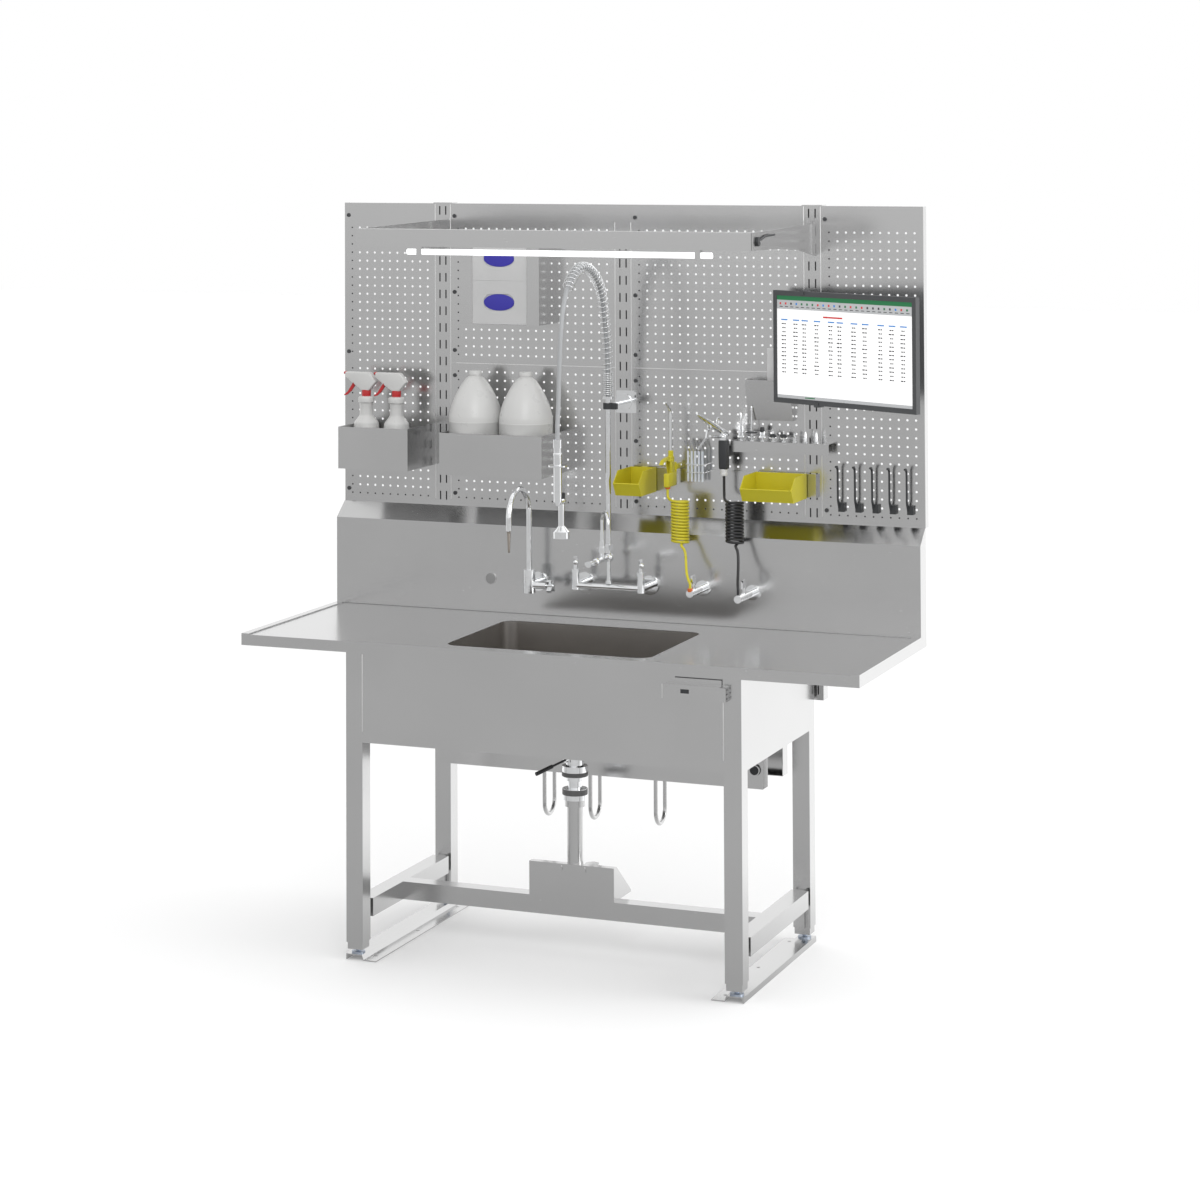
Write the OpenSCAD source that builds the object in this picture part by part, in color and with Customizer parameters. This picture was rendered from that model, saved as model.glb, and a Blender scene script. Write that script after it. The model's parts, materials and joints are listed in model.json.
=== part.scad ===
// Height-adjustable laboratory sink unit: a stainless worktop with a sink on four
// telescopic legs, with a perforated back wall that carries taps, spray guns,
// bins, racks, a lamp and a screen. X runs to the right, Y to the back, Z up.
// In the modules, a depth d is measured forward from the face of the back wall.

/* [Bench] */
// Width of the worktop and of the back wall
bench_w = 1828.8; // [1700:0.1:2200]
// Depth of the worktop in front of the back wall
deck_d = 689.4; // [670:0.1:760]
// Height of the worktop's surface above the floor, lowered
deck_h = 890.5; // [860:0.5:960]
// Height of the worktop's folded edge
deck_edge = 30.7; // [25:0.1:40]
// Thickness of the stainless sheet
sheet = 1.5; // [1.2:0.1:2]
// Width of the sink's opening
sink_w = 609.6; // [400:0.1:700]
// Front-to-back size of the sink's opening
sink_l = 455.9; // [350:0.1:480]
// Depth of the sink below the worktop
sink_depth = 250; // [150:1:255]

/* [Legs and lift] */
// Outer width of a square leg sleeve
sleeve_w = 50.8; // [48:0.1:55]
// Distance of the leg centres from the bench's centre line
leg_x = 560.1; // [550:0.1:600]
// Sleeve length below the worktop's surface
sleeve_len = 842.5; // [800:0.5:850]
// Travel of the worktop
lift_travel = 254; // [100:1:300]
// Thickness of the leg tubes
tube_wall = 2; // [1.5:0.1:2.2]
// Height of the lower frame's top above the floor
frame_top = 158.8; // [140:0.1:200]

/* [Back wall] */
// Height of the perforated wall
wall_h = 914.4; // [914.4:0.1:1000]
// Width of a slotted upright
upright_w = 50.8; // [44:0.1:50.8]
// Depth of a slotted upright
upright_d = 42; // [38:0.5:60]
// Height of the uprights' lower ends
upright_foot = 686; // [650:1:800]
// Spacing of the peg holes
pitch = 25.4; // [25.4:0.1:26]
// Diameter of a peg hole
peg_d = 6.6; // [5:0.1:8]
// Depth of the splashback box
splash_d = 59.7; // [50:0.1:70]
// Height of the splashback's upright face
splash_h = 259.5; // [240:0.5:300]
// Height of the splashback's sloping ledge
ledge_h = 43.8; // [30:0.1:60]

/* [Lamp and screen] */
// Length of the lamp housing
lamp_w = 1184; // [1100:1:1190]
// Distance of the lamp's front from the wall
lamp_reach = 594; // [450:1:640]
// Height of the lamp housing's lower edge
lamp_z = 2001; // [1990:1:2010]
// Diameter of the light tube
lamp_tube_d = 16; // [14:0.5:26]
// Width of the screen
screen_w = 543; // [480:1:560]
// Height of the screen
screen_h = 321; // [280:1:340]
// Thickness of the screen
screen_t = 16; // [12:1:22]
// Angle by which the screen is turned towards the sink
screen_turn = 26.6; // [20:0.1:35]

/* [Taps] */
// Spacing of the mixing tap's two valves
valve_gap = 203.2; // [195:0.1:210]
// Diameter of the riser pipe
riser_d = 16; // [15:0.1:18]
// Outer diameter of the rinse spring
spring_d = 33; // [30:0.5:34]
// Wire diameter of the rinse spring
spring_wire = 3.2; // [2:0.1:3.6]
// Diameter of the rinse hose
rinse_hose_d = 13; // [11:0.5:14]
// Diameter of the laboratory tap's gooseneck
lab_tube_d = 17; // [14:0.1:19]
// Diameter of the coiled hoses
hose_d = 8; // [6:0.1:8.2]
// Outer diameter of the hose coils
coil_d = 55.5; // [50:0.1:57]

/* [Accessories] */
// Width of the glove box holder
glove_w = 255.4; // [230:0.1:270]
// Depth of the glove box holder
glove_d = 101.6; // [80:0.1:120]
// Width of the left basket
bottle_basket_w = 228.6; // [190:0.1:240]
// Width of the right basket
jug_basket_w = 328; // [325:1:335]
// Diameter of a jug
jug_d = 161; // [140:1:162]
// Diameter of the drain pipe
drain_pipe_d = 45.5; // [44:0.1:50]

/* [Hidden] */

steel = "#b4b6b6";
chrome = "#d4d6d8";
dark = "#33363a";
yellow = "#c8bc28";
white = "#d7d7d7";
red = "#be2828";

round_fn = 48;
small_fn = 24;
curl_rings = 8;
curl_sides = 6;
over = 1;
gap = 0.3;
pin_gap = 0.05;

// Shared places worked out from the driving sizes
half_w = bench_w / 2;
guard_out = 18.9;
guard_reach = deck_d + guard_out;
wall_y = (guard_reach - upright_d) / 2;
splash_top = deck_h + splash_h;
wall_base = splash_top + ledge_h;
wall_top = wall_base + wall_h;
outer_upright = 23 * pitch;

// Shapes that many pieces share

// A block between two heights, two depths and two places across
module block(x0, x1, d0, d1, z0, z1) {
  translate([x0, wall_y - d1, z0]) cube([x1 - x0, d1 - d0, z1 - z0]);
}
module post(r, x, d, z0, z1) {
  translate([x, wall_y - d, z0]) cylinder(r = r, h = z1 - z0, $fn = round_fn);
}
module cone(r0, r1, x, d, z0, z1) {
  translate([x, wall_y - d, z0]) cylinder(r1 = r0, r2 = r1, h = z1 - z0, $fn = round_fn);
}
module bar_x(r, d, z, x0, x1) {
  translate([x0, wall_y - d, z]) rotate([0, 90, 0]) cylinder(r = r, h = x1 - x0, $fn = round_fn);
}
// A round bar that runs forward from depth d0 to depth d1
module bar_y(r, x, z, d0, d1) {
  translate([x, wall_y - d0, z]) rotate([90, 0, 0]) cylinder(r = r, h = d1 - d0, $fn = round_fn);
}
module peg_bore(r, x, z, d0, d1) {
  translate([x, wall_y - d0, z]) rotate([90, 0, 0]) cylinder(r = r, h = d1 - d0, $fn = small_fn);
}
// An outline of [depth, height] points, carried across from x0 to x1
module profile(x0, x1, points) {
  translate([x0, wall_y, 0]) rotate([90, 0, 90]) linear_extrude(height = x1 - x0)
    polygon([for (p = points) [-p[0], p[1]]]);
}
// An outline of [radius, height] points, turned about an upright axis
module turned(x, d, z, points) {
  translate([x, wall_y - d, z]) rotate_extrude($fn = round_fn) polygon(points);
}
// A bent tube in an upright plane, from angle a0 to a1, where 0 points to the wall
module arch(r, bend, x, d, z, a0, a1) {
  translate([x, wall_y - d, z]) rotate([90, 0, 90]) rotate([0, 0, a0])
    rotate_extrude(angle = a1 - a0, $fn = round_fn) translate([bend, 0]) circle(r = r, $fn = small_fn);
}
module rounded(w, l, r) {
  translate([r, 0]) square([w - 2 * r, l]);
  translate([0, r]) square([w, l - 2 * r]);
  for (x = [r, w - r], y = [r, l - r]) translate([x, y]) circle(r = r, $fn = round_fn);
}
module mirrored() {
  children();
  mirror([1, 0, 0]) children();
}

// A swept tube: rings across a path, each turned as little as possible from the last
function unit(v) = v / norm(v);
function last(p) = len(p) - 1;
function headings(p) = [for (i = [0 : last(p)]) unit(p[min(i + 1, last(p))] - p[max(i - 1, 0)])];
function carried(t, n, i = 0, out = []) = i > last(t) ? out :
  let (v = n - (n * t[i]) * t[i], u = unit(v)) carried(t, u, i + 1, concat(out, [u]));
function ring(c, n, b, r, sides) =
  [for (k = [0 : sides - 1]) c + r * (cos(k * 360 / sides) * n + sin(k * 360 / sides) * b)];
function ring_faces(i, n) = [for (k = [0 : n - 1], h = [0, 1]) let (m = (k + 1) % n) h == 0 ?
  [i * n + k, (i + 1) * n + m, i * n + m] : [i * n + k, (i + 1) * n + k, (i + 1) * n + m]];
module sweep(path, r, sides, start) {
  t = headings(path);
  n = carried(t, start);
  rings = [for (i = [0 : last(path)]) each ring(path[i], n[i], cross(t[i], n[i]), r, sides)];
  skin = [for (i = [0 : last(path) - 1]) each ring_faces(i, sides)];
  top = last(path) * sides;
  caps = [for (k = [1 : sides - 2]) each [[0, k, k + 1], [top, top + k + 1, top + k]]];
  polyhedron(points = rings, faces = concat(skin, caps));
}
// A smooth curve through hand-picked points, with a number of steps between two of them
function between(a, b, c, d, u) = (2 * b + (c - a) * u + (2 * a - 5 * b + 4 * c - d) * u * u
  + (3 * b - a - 3 * c + d) * u * u * u) / 2;
function smooth(p, steps) = concat([for (i = [0 : last(p) - 1], s = [0 : steps - 1])
  between(p[max(i - 1, 0)], p[i], p[i + 1], p[min(i + 2, last(p))], s / steps)], [p[last(p)]]);
// The least gap of a wound wire of radius r to the curls beside it
function self_gap(path, r, lap) = min([for (i = [0 : last(path) - lap], j = [i + lap - 2 : i + lap + 2])
  if (j <= last(path)) norm(path[j] - path[i])]) - 2 * r;

// Floor rails: one hat-shaped channel under each pair of legs
rail_h = 16;
rail_w = 54;
rail_flange = 38;
rail_front = 683;
rail_back = 15;
rail_slope = 5;
rail_skin = 2.5;
anchor_r = 5.5;
anchor_d = 53.3;
anchor_pitch = 289.2;
anchor_in = 24;
module floor_rail() {
  inner = leg_x - rail_w / 2;
  outer = leg_x + rail_w / 2;
  difference() {
    translate([0, wall_y - rail_back, 0]) rotate([90, 0, 0]) linear_extrude(height = rail_front - rail_back)
      polygon([[inner - rail_flange, 0], [inner, 0], [inner + rail_slope, rail_h - rail_skin],
        [outer - rail_slope, rail_h - rail_skin], [outer - rail_skin, 0], [outer, 0], [outer, rail_h],
        [inner + rail_slope, rail_h], [inner, rail_skin], [inner - rail_flange, rail_skin]]);
    for (i = [0 : 2]) post(anchor_r, inner - rail_flange + anchor_in, anchor_d + i * anchor_pitch,
      -over, rail_skin + over);
  }
}
module floor_rails() {
  color(steel) mirrored() floor_rail();
}

// Legs: inner tubes stand on levelling studs, outer sleeves rise with the worktop
leg_inset = 31;
front_leg = deck_d - leg_inset;
deck_under = deck_h - sheet;
back_leg = 40;
leg_slack = 0.6;
inner_w = sleeve_w - 2 * tube_wall - 2 * leg_slack;
inner_foot = 29;
inner_top = 640;
foot_plate = 3;
stud_r = 6;
pad_r = 19;
pad_h = 4;
nut_flats = 9.5;
nut_h = 6;
stud_reach = 40;
sleeve_foot = deck_h - sleeve_len;
slot_w = 30;
slot_slack = 2;
module at_legs() {
  mirrored() for (d = [front_leg, back_leg]) translate([leg_x, wall_y - d, 0]) children();
}
module square_tube(w, wall, z0, z1) {
  translate([-w / 2, -w / 2, z0]) difference() {
    cube([w, w, z1 - z0]);
    translate([wall, wall, -over]) cube([w - 2 * wall, w - 2 * wall, z1 - z0 + 2 * over]);
  }
}
module levelling_feet() {
  color("#4a5464") at_legs() union() {
    translate([0, 0, rail_h]) cylinder(r = pad_r, h = pad_h, $fn = round_fn);
    translate([0, 0, rail_h]) cylinder(r = stud_r, h = stud_reach, $fn = small_fn);
    translate([0, 0, inner_foot - nut_h]) cylinder(r = nut_flats, h = nut_h, $fn = 6);
  }
}
module inner_legs() {
  color(steel) at_legs() difference() {
    union() {
      square_tube(inner_w, tube_wall, inner_foot, inner_top);
      translate([-inner_w / 2, -inner_w / 2, inner_foot]) cube([inner_w, inner_w, foot_plate]);
    }
    translate([0, 0, inner_foot - over]) cylinder(r = stud_r + pin_gap, h = foot_plate + 2 * over, $fn = small_fn);
  }
}
// A slot in each sleeve lets it pass the bracket between the inner leg and the frame
module leg_sleeve(way) {
  difference() {
    square_tube(sleeve_w, tube_wall, sleeve_foot, deck_under);
    translate([-slot_w / 2, way < 0 ? -sleeve_w : 0, sleeve_foot - over])
      cube([slot_w, sleeve_w, frame_top + slot_slack - sleeve_foot + over]);
  }
}
module leg_sleeves() {
  color(steel) mirrored() {
    translate([leg_x, wall_y - front_leg, 0]) leg_sleeve(1);
    translate([leg_x, wall_y - back_leg, 0]) leg_sleeve(-1);
  }
}

// Lower frame: side beams between the legs, one long beam, and four dark brackets
beam_w = 50.8;
beam_gap = 18;
bracket_w = 24;
bracket_foot = 50;
long_beam_d = 386;
frame_foot = frame_top - beam_w;
module side_beam() {
  front = front_leg - sleeve_w / 2 - beam_gap;
  back = back_leg + sleeve_w / 2 + beam_gap;
  difference() {
    block(leg_x - beam_w / 2, leg_x + beam_w / 2, back, front, frame_foot, frame_top);
    block(leg_x - beam_w / 2 + tube_wall, leg_x + beam_w / 2 - tube_wall, back + tube_wall,
      front - tube_wall, frame_foot + tube_wall, frame_top - tube_wall);
  }
  block(leg_x - bracket_w / 2, leg_x + bracket_w / 2, front, front_leg - inner_w / 2, bracket_foot, frame_top);
  block(leg_x - bracket_w / 2, leg_x + bracket_w / 2, back_leg + inner_w / 2, back, bracket_foot, frame_top);
}
module lower_frame() {
  reach = leg_x - beam_w / 2;
  color(steel) {
    mirrored() side_beam();
    difference() {
      block(-reach, reach, long_beam_d - beam_w / 2, long_beam_d + beam_w / 2, frame_foot, frame_top);
      block(-reach - over, reach + over, long_beam_d - beam_w / 2 + tube_wall,
        long_beam_d + beam_w / 2 - tube_wall, frame_foot + tube_wall, frame_top - tube_wall);
    }
  }
}

// Drain: an open-backed shield on the long beam with the lower half of the sliding pipe
drain_x = -10;
drain_d = 384;
shield_left = -140;
shield_right = 117;
shield_top = 254;
shield_back = 274;
shield_sill = 6;
shield_brow = 22;
pipe_wall = 2;
pipe_top = 414;
collar_r = 29;
collar_h = 19;
screw_r = 9;
screw_h = 3;
screw_z = 241;
shield_screws = [-47.8, 23.6];
elbow_r = 20;
elbow_x = 28;
elbow_d = 350;
elbow_top = 250;
module drain_box() {
  front = long_beam_d + beam_w / 2;
  side = [[front, frame_top], [front, shield_top], [front - shield_brow, shield_top],
    [shield_back, frame_top + shield_sill], [shield_back, frame_top]];
  color(steel) difference() {
    union() {
      profile(shield_left, shield_left + sheet, side);
      profile(shield_right - sheet, shield_right, side);
      block(shield_left, shield_right, front - sheet, front, frame_top, shield_top);
      block(shield_left, shield_right, front - shield_brow, front, shield_top - sheet, shield_top);
      for (x = shield_screws) bar_y(screw_r, x, screw_z, front, front + screw_h);
    }
    post((drain_pipe_d - pipe_wall) / 2, drain_x, drain_d, frame_top - over, shield_top + over);
  }
  color(dark) post(elbow_r, elbow_x, elbow_d, frame_top, elbow_top - sheet - over);
  color("#b9bcb6") turned(drain_x, drain_d, 0, [
    [drain_pipe_d / 2 - pipe_wall, frame_top], [drain_pipe_d / 2, frame_top],
    [drain_pipe_d / 2, pipe_top], [collar_r, pipe_top], [collar_r, pipe_top + collar_h],
    [drain_pipe_d / 2 - pipe_wall, pipe_top + collar_h]]);
}

// Apron panels between the sleeves
apron_foot = 609;
apron_front = front_leg + sleeve_w / 2;
module apron_panels() {
  side = leg_x + sleeve_w / 2;
  color(steel) {
    block(sleeve_w / 2 - leg_x, leg_x - sleeve_w / 2, apron_front - sheet, apron_front, apron_foot, deck_under);
    mirrored() block(side - sheet, side, back_leg + sleeve_w / 2, front_leg - sleeve_w / 2,
      apron_foot, deck_under);
  }
}

// Worktop: a tray with folded edges, a raised rim at each end and the sink's opening
sink_x = 2.5;
sink_margin = 46.8;
sink_corner = 38;
rim_w = 23;
rim_h = 3;
module sink_outline(grow) {
  translate([sink_x - sink_w / 2 - grow, wall_y - deck_d + sink_margin - grow])
    rounded(sink_w + 2 * grow, sink_l + 2 * grow, sink_corner + grow);
}
module worktop() {
  color(steel) difference() {
    union() {
      block(-half_w, half_w, 0, deck_d, deck_h - deck_edge, deck_h);
      mirrored() block(half_w - rim_w, half_w, splash_d, deck_d, deck_h - over, deck_h + rim_h);
    }
    block(sheet - half_w, half_w - sheet, sheet, deck_d - sheet, deck_h - deck_edge - over, deck_under);
    translate([0, 0, deck_under - over]) linear_extrude(height = sheet + 2 * over) sink_outline(0);
  }
}
bowl_lip = 12;
drain_hole_r = 26.3;
bowl_foot = deck_h - sink_depth - sheet;
module sink_bowl() {
  color(steel) difference() {
    union() {
      translate([0, 0, bowl_foot]) linear_extrude(height = deck_under - bowl_foot) sink_outline(sheet);
      translate([0, 0, deck_under - sheet]) linear_extrude(height = sheet) sink_outline(bowl_lip);
    }
    translate([0, 0, bowl_foot + sheet]) linear_extrude(height = sink_depth) sink_outline(0);
    post(drain_hole_r, drain_x, drain_d, bowl_foot - over, bowl_foot + sheet + over);
  }
}

// Drain fittings: flange, body, nuts and the upper half of the sliding pipe
drain_bore = 17;
tail_r = 20;
tail_foot = 165;
tail_slack = 0.3;
grip_nut_r = 35.5;
grip_nut_top = 464;
hex_z = 486;
hex_r = 25;
body_nut_z = 498;
body_nut_r = 36.5;
body_z = 528;
body_r = 26;
lock_nut_r = 34;
lock_nut_h = 12;
flange_r = 45;
flange_h = 2.5;
lever_z = 555.3;
lever_turn = -120.4;
lever_dip = 14;
lever_rod_r = 3;
lever_boss_r = 8;
lever_start = 28;
lever_boss_end = 38;
lever_grip_start = 84;
lever_grip_r = 5.5;
lever_end = 143;
module along_lever() {
  translate([drain_x, wall_y - drain_d, lever_z]) rotate([0, 0, lever_turn]) rotate([0, 90 + lever_dip, 0])
    children();
}
module drain_fittings() {
  foot = pipe_top + collar_h + tail_slack;
  color(chrome) difference() {
    union() {
      turned(drain_x, drain_d, 0, [[drain_bore, tail_foot], [tail_r, tail_foot], [tail_r, foot],
        [grip_nut_r, foot], [grip_nut_r, grip_nut_top], [tail_r, grip_nut_top], [tail_r, hex_z],
        [hex_r, hex_z], [hex_r, body_nut_z], [body_nut_r, body_nut_z], [body_nut_r, body_z],
        [body_r, body_z], [body_r, bowl_foot - lock_nut_h], [lock_nut_r, bowl_foot - lock_nut_h],
        [lock_nut_r, bowl_foot], [body_r, bowl_foot], [body_r, bowl_foot + sheet],
        [flange_r, bowl_foot + sheet], [flange_r, bowl_foot + sheet + flange_h],
        [drain_bore, bowl_foot + sheet + flange_h]]);
      along_lever() translate([0, 0, (drain_bore + body_r) / 2])
        cylinder(r = lever_boss_r, h = lever_boss_end - (drain_bore + body_r) / 2, $fn = round_fn);
    }
    along_lever() translate([0, 0, lever_start - gap]) cylinder(r = lever_rod_r + pin_gap, h = lever_end, $fn = round_fn);
  }
}
module drain_lever() {
  color(dark) along_lever() {
    translate([0, 0, lever_start]) cylinder(r = lever_rod_r, h = lever_end - lever_start, $fn = round_fn);
    translate([0, 0, lever_grip_start]) cylinder(r = lever_grip_r, h = lever_end - lever_grip_start, $fn = round_fn);
  }
}

// Splashback: a box with a sloping ledge, open at its back, and a hole cover
ledge_lip = 5;
cover_x = -404;
cover_z = 990;
cover_r = 18;
cover_h = 2;
module splashback() {
  color(steel) {
    difference() {
      profile(-half_w, half_w, [[0, deck_h], [splash_d, deck_h], [splash_d, splash_top],
        [ledge_lip, wall_base], [0, wall_base]]);
      profile(sheet - half_w, half_w - sheet, [[-over, deck_h + sheet], [splash_d - sheet, deck_h + sheet],
        [splash_d - sheet, splash_top - sheet], [ledge_lip - sheet, wall_base - sheet],
        [-over, wall_base - sheet]]);
    }
    bar_y(cover_r, cover_x, cover_z, splash_d - sheet / 2, splash_d + cover_h);
  }
}

// Uprights: slotted channels behind the wall, the middle one two pitches shorter
slot_offset = 9.9;
slot_narrow = 4;
slot_long = 26;
first_slot = 21.6;
slot_pitch = 2 * pitch;
cap_w = 62;
cap_h = 2.5;
middle_drop = 2 * pitch;
module upright(x, top, cap) {
  skip = ceil((wall_top - top) / slot_pitch);
  rows = floor((wall_top - first_slot - upright_foot - slot_long) / slot_pitch);
  translate([x - upright_w / 2, wall_y + sheet, upright_foot]) rotate([90, 0, 0]) linear_extrude(height = sheet)
    difference() {
      square([upright_w, top - upright_foot]);
      for (k = [skip : rows], side = [-1, 1])
        translate([upright_w / 2 + side * slot_offset - slot_narrow / 2,
          wall_top - upright_foot - first_slot - k * slot_pitch - slot_long / 2])
          square([slot_narrow, slot_long]);
    }
  for (edge = [x - upright_w / 2, x + upright_w / 2 - sheet])
    block(edge, edge + sheet, -upright_d, 0, upright_foot, top);
  block(x - cap / 2, x + cap / 2, -upright_d, 0, top, top + cap_h);
}
module uprights() {
  color(steel) {
    for (side = [-1, 1]) upright(side * outer_upright, wall_top, cap_w);
    upright(0, wall_top - middle_drop, upright_w);
  }
}

// Perforated panels between and beside the uprights
panel_rim = 33;
panel_lip = 12;
first_row = 3;
side_cols = 10;
middle_cols = 19;
seam_row = 19;
seam_gap = 1;
module peg_panel(x0, x1, z0, z1, cols, rows) {
  difference() {
    union() {
      block(x0, x1, -sheet, 0, z0, z1);
      block(x0, x1, -panel_lip, 0, z0, z0 + sheet);
      block(x0, x1, -panel_lip, 0, z1 - sheet, z1);
    }
    for (i = [0 : cols - 1], k = rows)
      peg_bore(peg_d / 2, x0 + (i + 2) * pitch, wall_top - k * pitch, -sheet - over, over);
  }
}
module side_panels() {
  rows = [for (k = [first_row : floor(wall_h / pitch) - 2]) k];
  color(steel) {
    peg_panel(-half_w, outer_edge(-1), wall_base, wall_top, side_cols, rows);
    block(-half_w, sheet - half_w, -panel_rim, 0, wall_base, wall_top);
    peg_panel(outer_edge(1), half_w, wall_base, wall_top, side_cols, rows);
    block(half_w - sheet, half_w, -panel_rim, 0, wall_base, wall_top);
  }
}
function outer_edge(side) = side * (outer_upright + upright_w / 2);
function inner_edge(side) = side * (outer_upright - upright_w / 2);
module middle_panels() {
  seam = wall_top - seam_row * pitch;
  upper = [for (k = [first_row : seam_row - 1]) k];
  lower = [for (k = [seam_row + 1 : floor(wall_h / pitch) - 2]) k];
  color(steel) {
    for (x = [[inner_edge(-1), -upright_w / 2], [upright_w / 2, inner_edge(1)]]) {
      peg_panel(x[0], x[1], seam, wall_top, middle_cols, upper);
      peg_panel(x[0], x[1], wall_base, seam - seam_gap, middle_cols, lower);
    }
    block(-upright_w / 2, upright_w / 2, -sheet, 0, wall_top - middle_drop + cap_h, wall_top);
  }
}

// Screws that hold the panels, along each panel's left edge
screw_inset = 13.5;
screw_from_end = 38.1;
panel_screw_r = 6;
panel_screw_h = 2.5;
middle_share = 0.5;
upper_share = 0.433;
function screw_heights(z0, z1, share) =
  [for (s = [0, share, 1]) z0 + screw_from_end + s * (z1 - z0 - 2 * screw_from_end)];
module screws(x, z0, z1, share) {
  for (z = screw_heights(z0, z1, share))
    bar_y(panel_screw_r, x + screw_inset, z, 0, panel_screw_h);
}
module panel_screws() {
  seam = wall_top - seam_row * pitch;
  color(dark) {
    screws(-half_w, wall_base, wall_top, middle_share);
    screws(outer_edge(1), wall_base, wall_top, middle_share);
    for (x = [inner_edge(-1), upright_w / 2]) {
      screws(x, seam, wall_top, upper_share);
      screws(x, wall_base, seam, middle_share);
    }
  }
}

// Service box between the rear legs, open below, notched for the bowl; its supply loops let the bench rise
service_x = 495.3;
service_back = 15;
service_front = 218.4;
service_foot = 466;
service_return = 45.7;
ear_h = 40;
loop_r = 6.35;
loop_back = 56;
loop_front = 135;
loop_foot = 310;
loop_places = [-203, -59, 143.5];
gland_x = 472;
gland_z = 519.3;
gland_r = 16;
gland_h = 8;
bowl_room = 3;
module service_box() {
  grow = sheet + bowl_room;
  color(steel) {
    difference() {
      block(-service_x, service_x, -service_back, service_front, service_foot, upright_foot);
      block(sheet - service_x, service_x - sheet, sheet - service_back, service_front - sheet,
        service_foot + sheet, upright_foot - sheet);
      block(-service_x - over, service_x + over, service_return - service_back,
        service_front - service_return, service_foot - over, upright_foot - sheet);
      block(sink_x - sink_w / 2 - grow, sink_x + sink_w / 2 + grow, deck_d - sink_margin - sink_l - grow,
        service_front + over, bowl_foot - bowl_room, upright_foot + over);
    }
    mirrored() block(service_x, leg_x - sleeve_w / 2, back_leg - sleeve_w / 4, back_leg + sleeve_w / 4,
      upright_foot - ear_h, upright_foot);
    bend = (loop_front - loop_back) / 2;
    base = loop_foot + bend + loop_r;
    for (x = loop_places) {
      arch(loop_r, bend, x, (loop_front + loop_back) / 2, base, 180, 360);
      for (d = [loop_back, loop_front]) post(loop_r, x, d, base, upright_foot - sheet / 2);
    }
  }
  color(dark) bar_y(gland_r, gland_x, gland_z, service_front, service_front + gland_h);
}

// Hood over the lift switch, and the switch's rocker
guard_left = 370.3;
guard_right = 549.7;
guard_foot = 800;
guard_h = 38;
tab_left = 398.8;
tab_right = 533;
rocker_x = 434;
rocker_z = 822;
rocker_w = 22;
rocker_h = 9;
rocker_back = 10;
rocker_pin_r = 1.5;
rocker_slack = 1;
module switch_guard() {
  front = guard_reach;
  color(steel) difference() {
    union() {
      block(guard_left, guard_right, front - sheet, front, guard_foot, guard_foot + guard_h);
      block(guard_left, guard_right, apron_front, front, guard_foot + guard_h - sheet, guard_foot + guard_h);
      for (x = [guard_left, guard_right - sheet])
        block(x, x + sheet, apron_front, front, guard_foot, guard_foot + guard_h);
      block(tab_left, tab_right, apron_front, apron_front + sheet, guard_foot + guard_h - over,
        deck_h - deck_edge - gap);
      for (x = [rocker_x - rocker_w / 2 - rocker_slack - sheet, rocker_x + rocker_w / 2 + rocker_slack])
        block(x, x + sheet, front - rocker_back, front, rocker_z - rocker_h, rocker_z + rocker_h);
    }
    block(rocker_x - rocker_w / 2 - rocker_slack, rocker_x + rocker_w / 2 + rocker_slack,
      front - sheet - over, front + over, rocker_z - rocker_h / 2 - rocker_slack,
      rocker_z + rocker_h / 2 + rocker_slack);
    bar_x(rocker_pin_r + pin_gap, front - rocker_back / 2, rocker_z, rocker_x - rocker_w, rocker_x + rocker_w);
  }
}
module lift_switch() {
  front = guard_reach;
  pin_w = rocker_w / 2 + rocker_slack + sheet;
  color(dark) {
    block(rocker_x - rocker_w / 2, rocker_x + rocker_w / 2, front - rocker_back, front,
      rocker_z - rocker_h / 2, rocker_z + rocker_h / 2);
    bar_x(rocker_pin_r, front - rocker_back / 2, rocker_z, rocker_x - pin_w, rocker_x + pin_w);
  }
}

// Lamp: two arms on the outer uprights, and a tilting housing between them
arm_in = 592.6;
arm_skin = 3;
arm_flange = 32;
arm_points = [[0, 1963.4], [162.6, 1986.3], [380, 1998], [592, 2001.5], [592, 2050], [0, 2057.4]];
hook_clip = 7;
hinge_d = 569;
hinge_z = 2025;
hinge_r = 5;
clamp_d = 552;
stud_out = 9;
clamp_r = 13;
clamp_t = 6;
clamp_rod_r = 3;
clamp_rod_points = [[552, 2025], [490, 2038], [427, 2040]];
module lamp_arm() {
  difference() {
    profile(arm_in, arm_in + arm_skin, arm_points);
    bar_x(hinge_r + pin_gap, hinge_d, hinge_z, arm_in - over, arm_in + arm_skin + over);
  }
  block(arm_in - arm_flange, arm_in + arm_skin, 0, sheet, arm_points[0][1], arm_points[5][1]);
}
module light_arms() {
  color(steel) {
    mirrored() lamp_arm();
    bar_x(clamp_rod_r, clamp_d, hinge_z, arm_in, arm_in + arm_skin + stud_out);
  }
  color(dark) mirrored() block(arm_in - arm_flange, arm_in - hook_clip, 0, hook_clip,
    arm_points[5][1], arm_points[5][1] + hook_clip);
}
tube_d = 579;
tube_z = 1986;
tube_left = -424;
tube_right = 460;
tube_cap = 15;
tube_clip = 9;
clip_w = 16;
housing_d = 40;
housing_h = 49;
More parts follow.
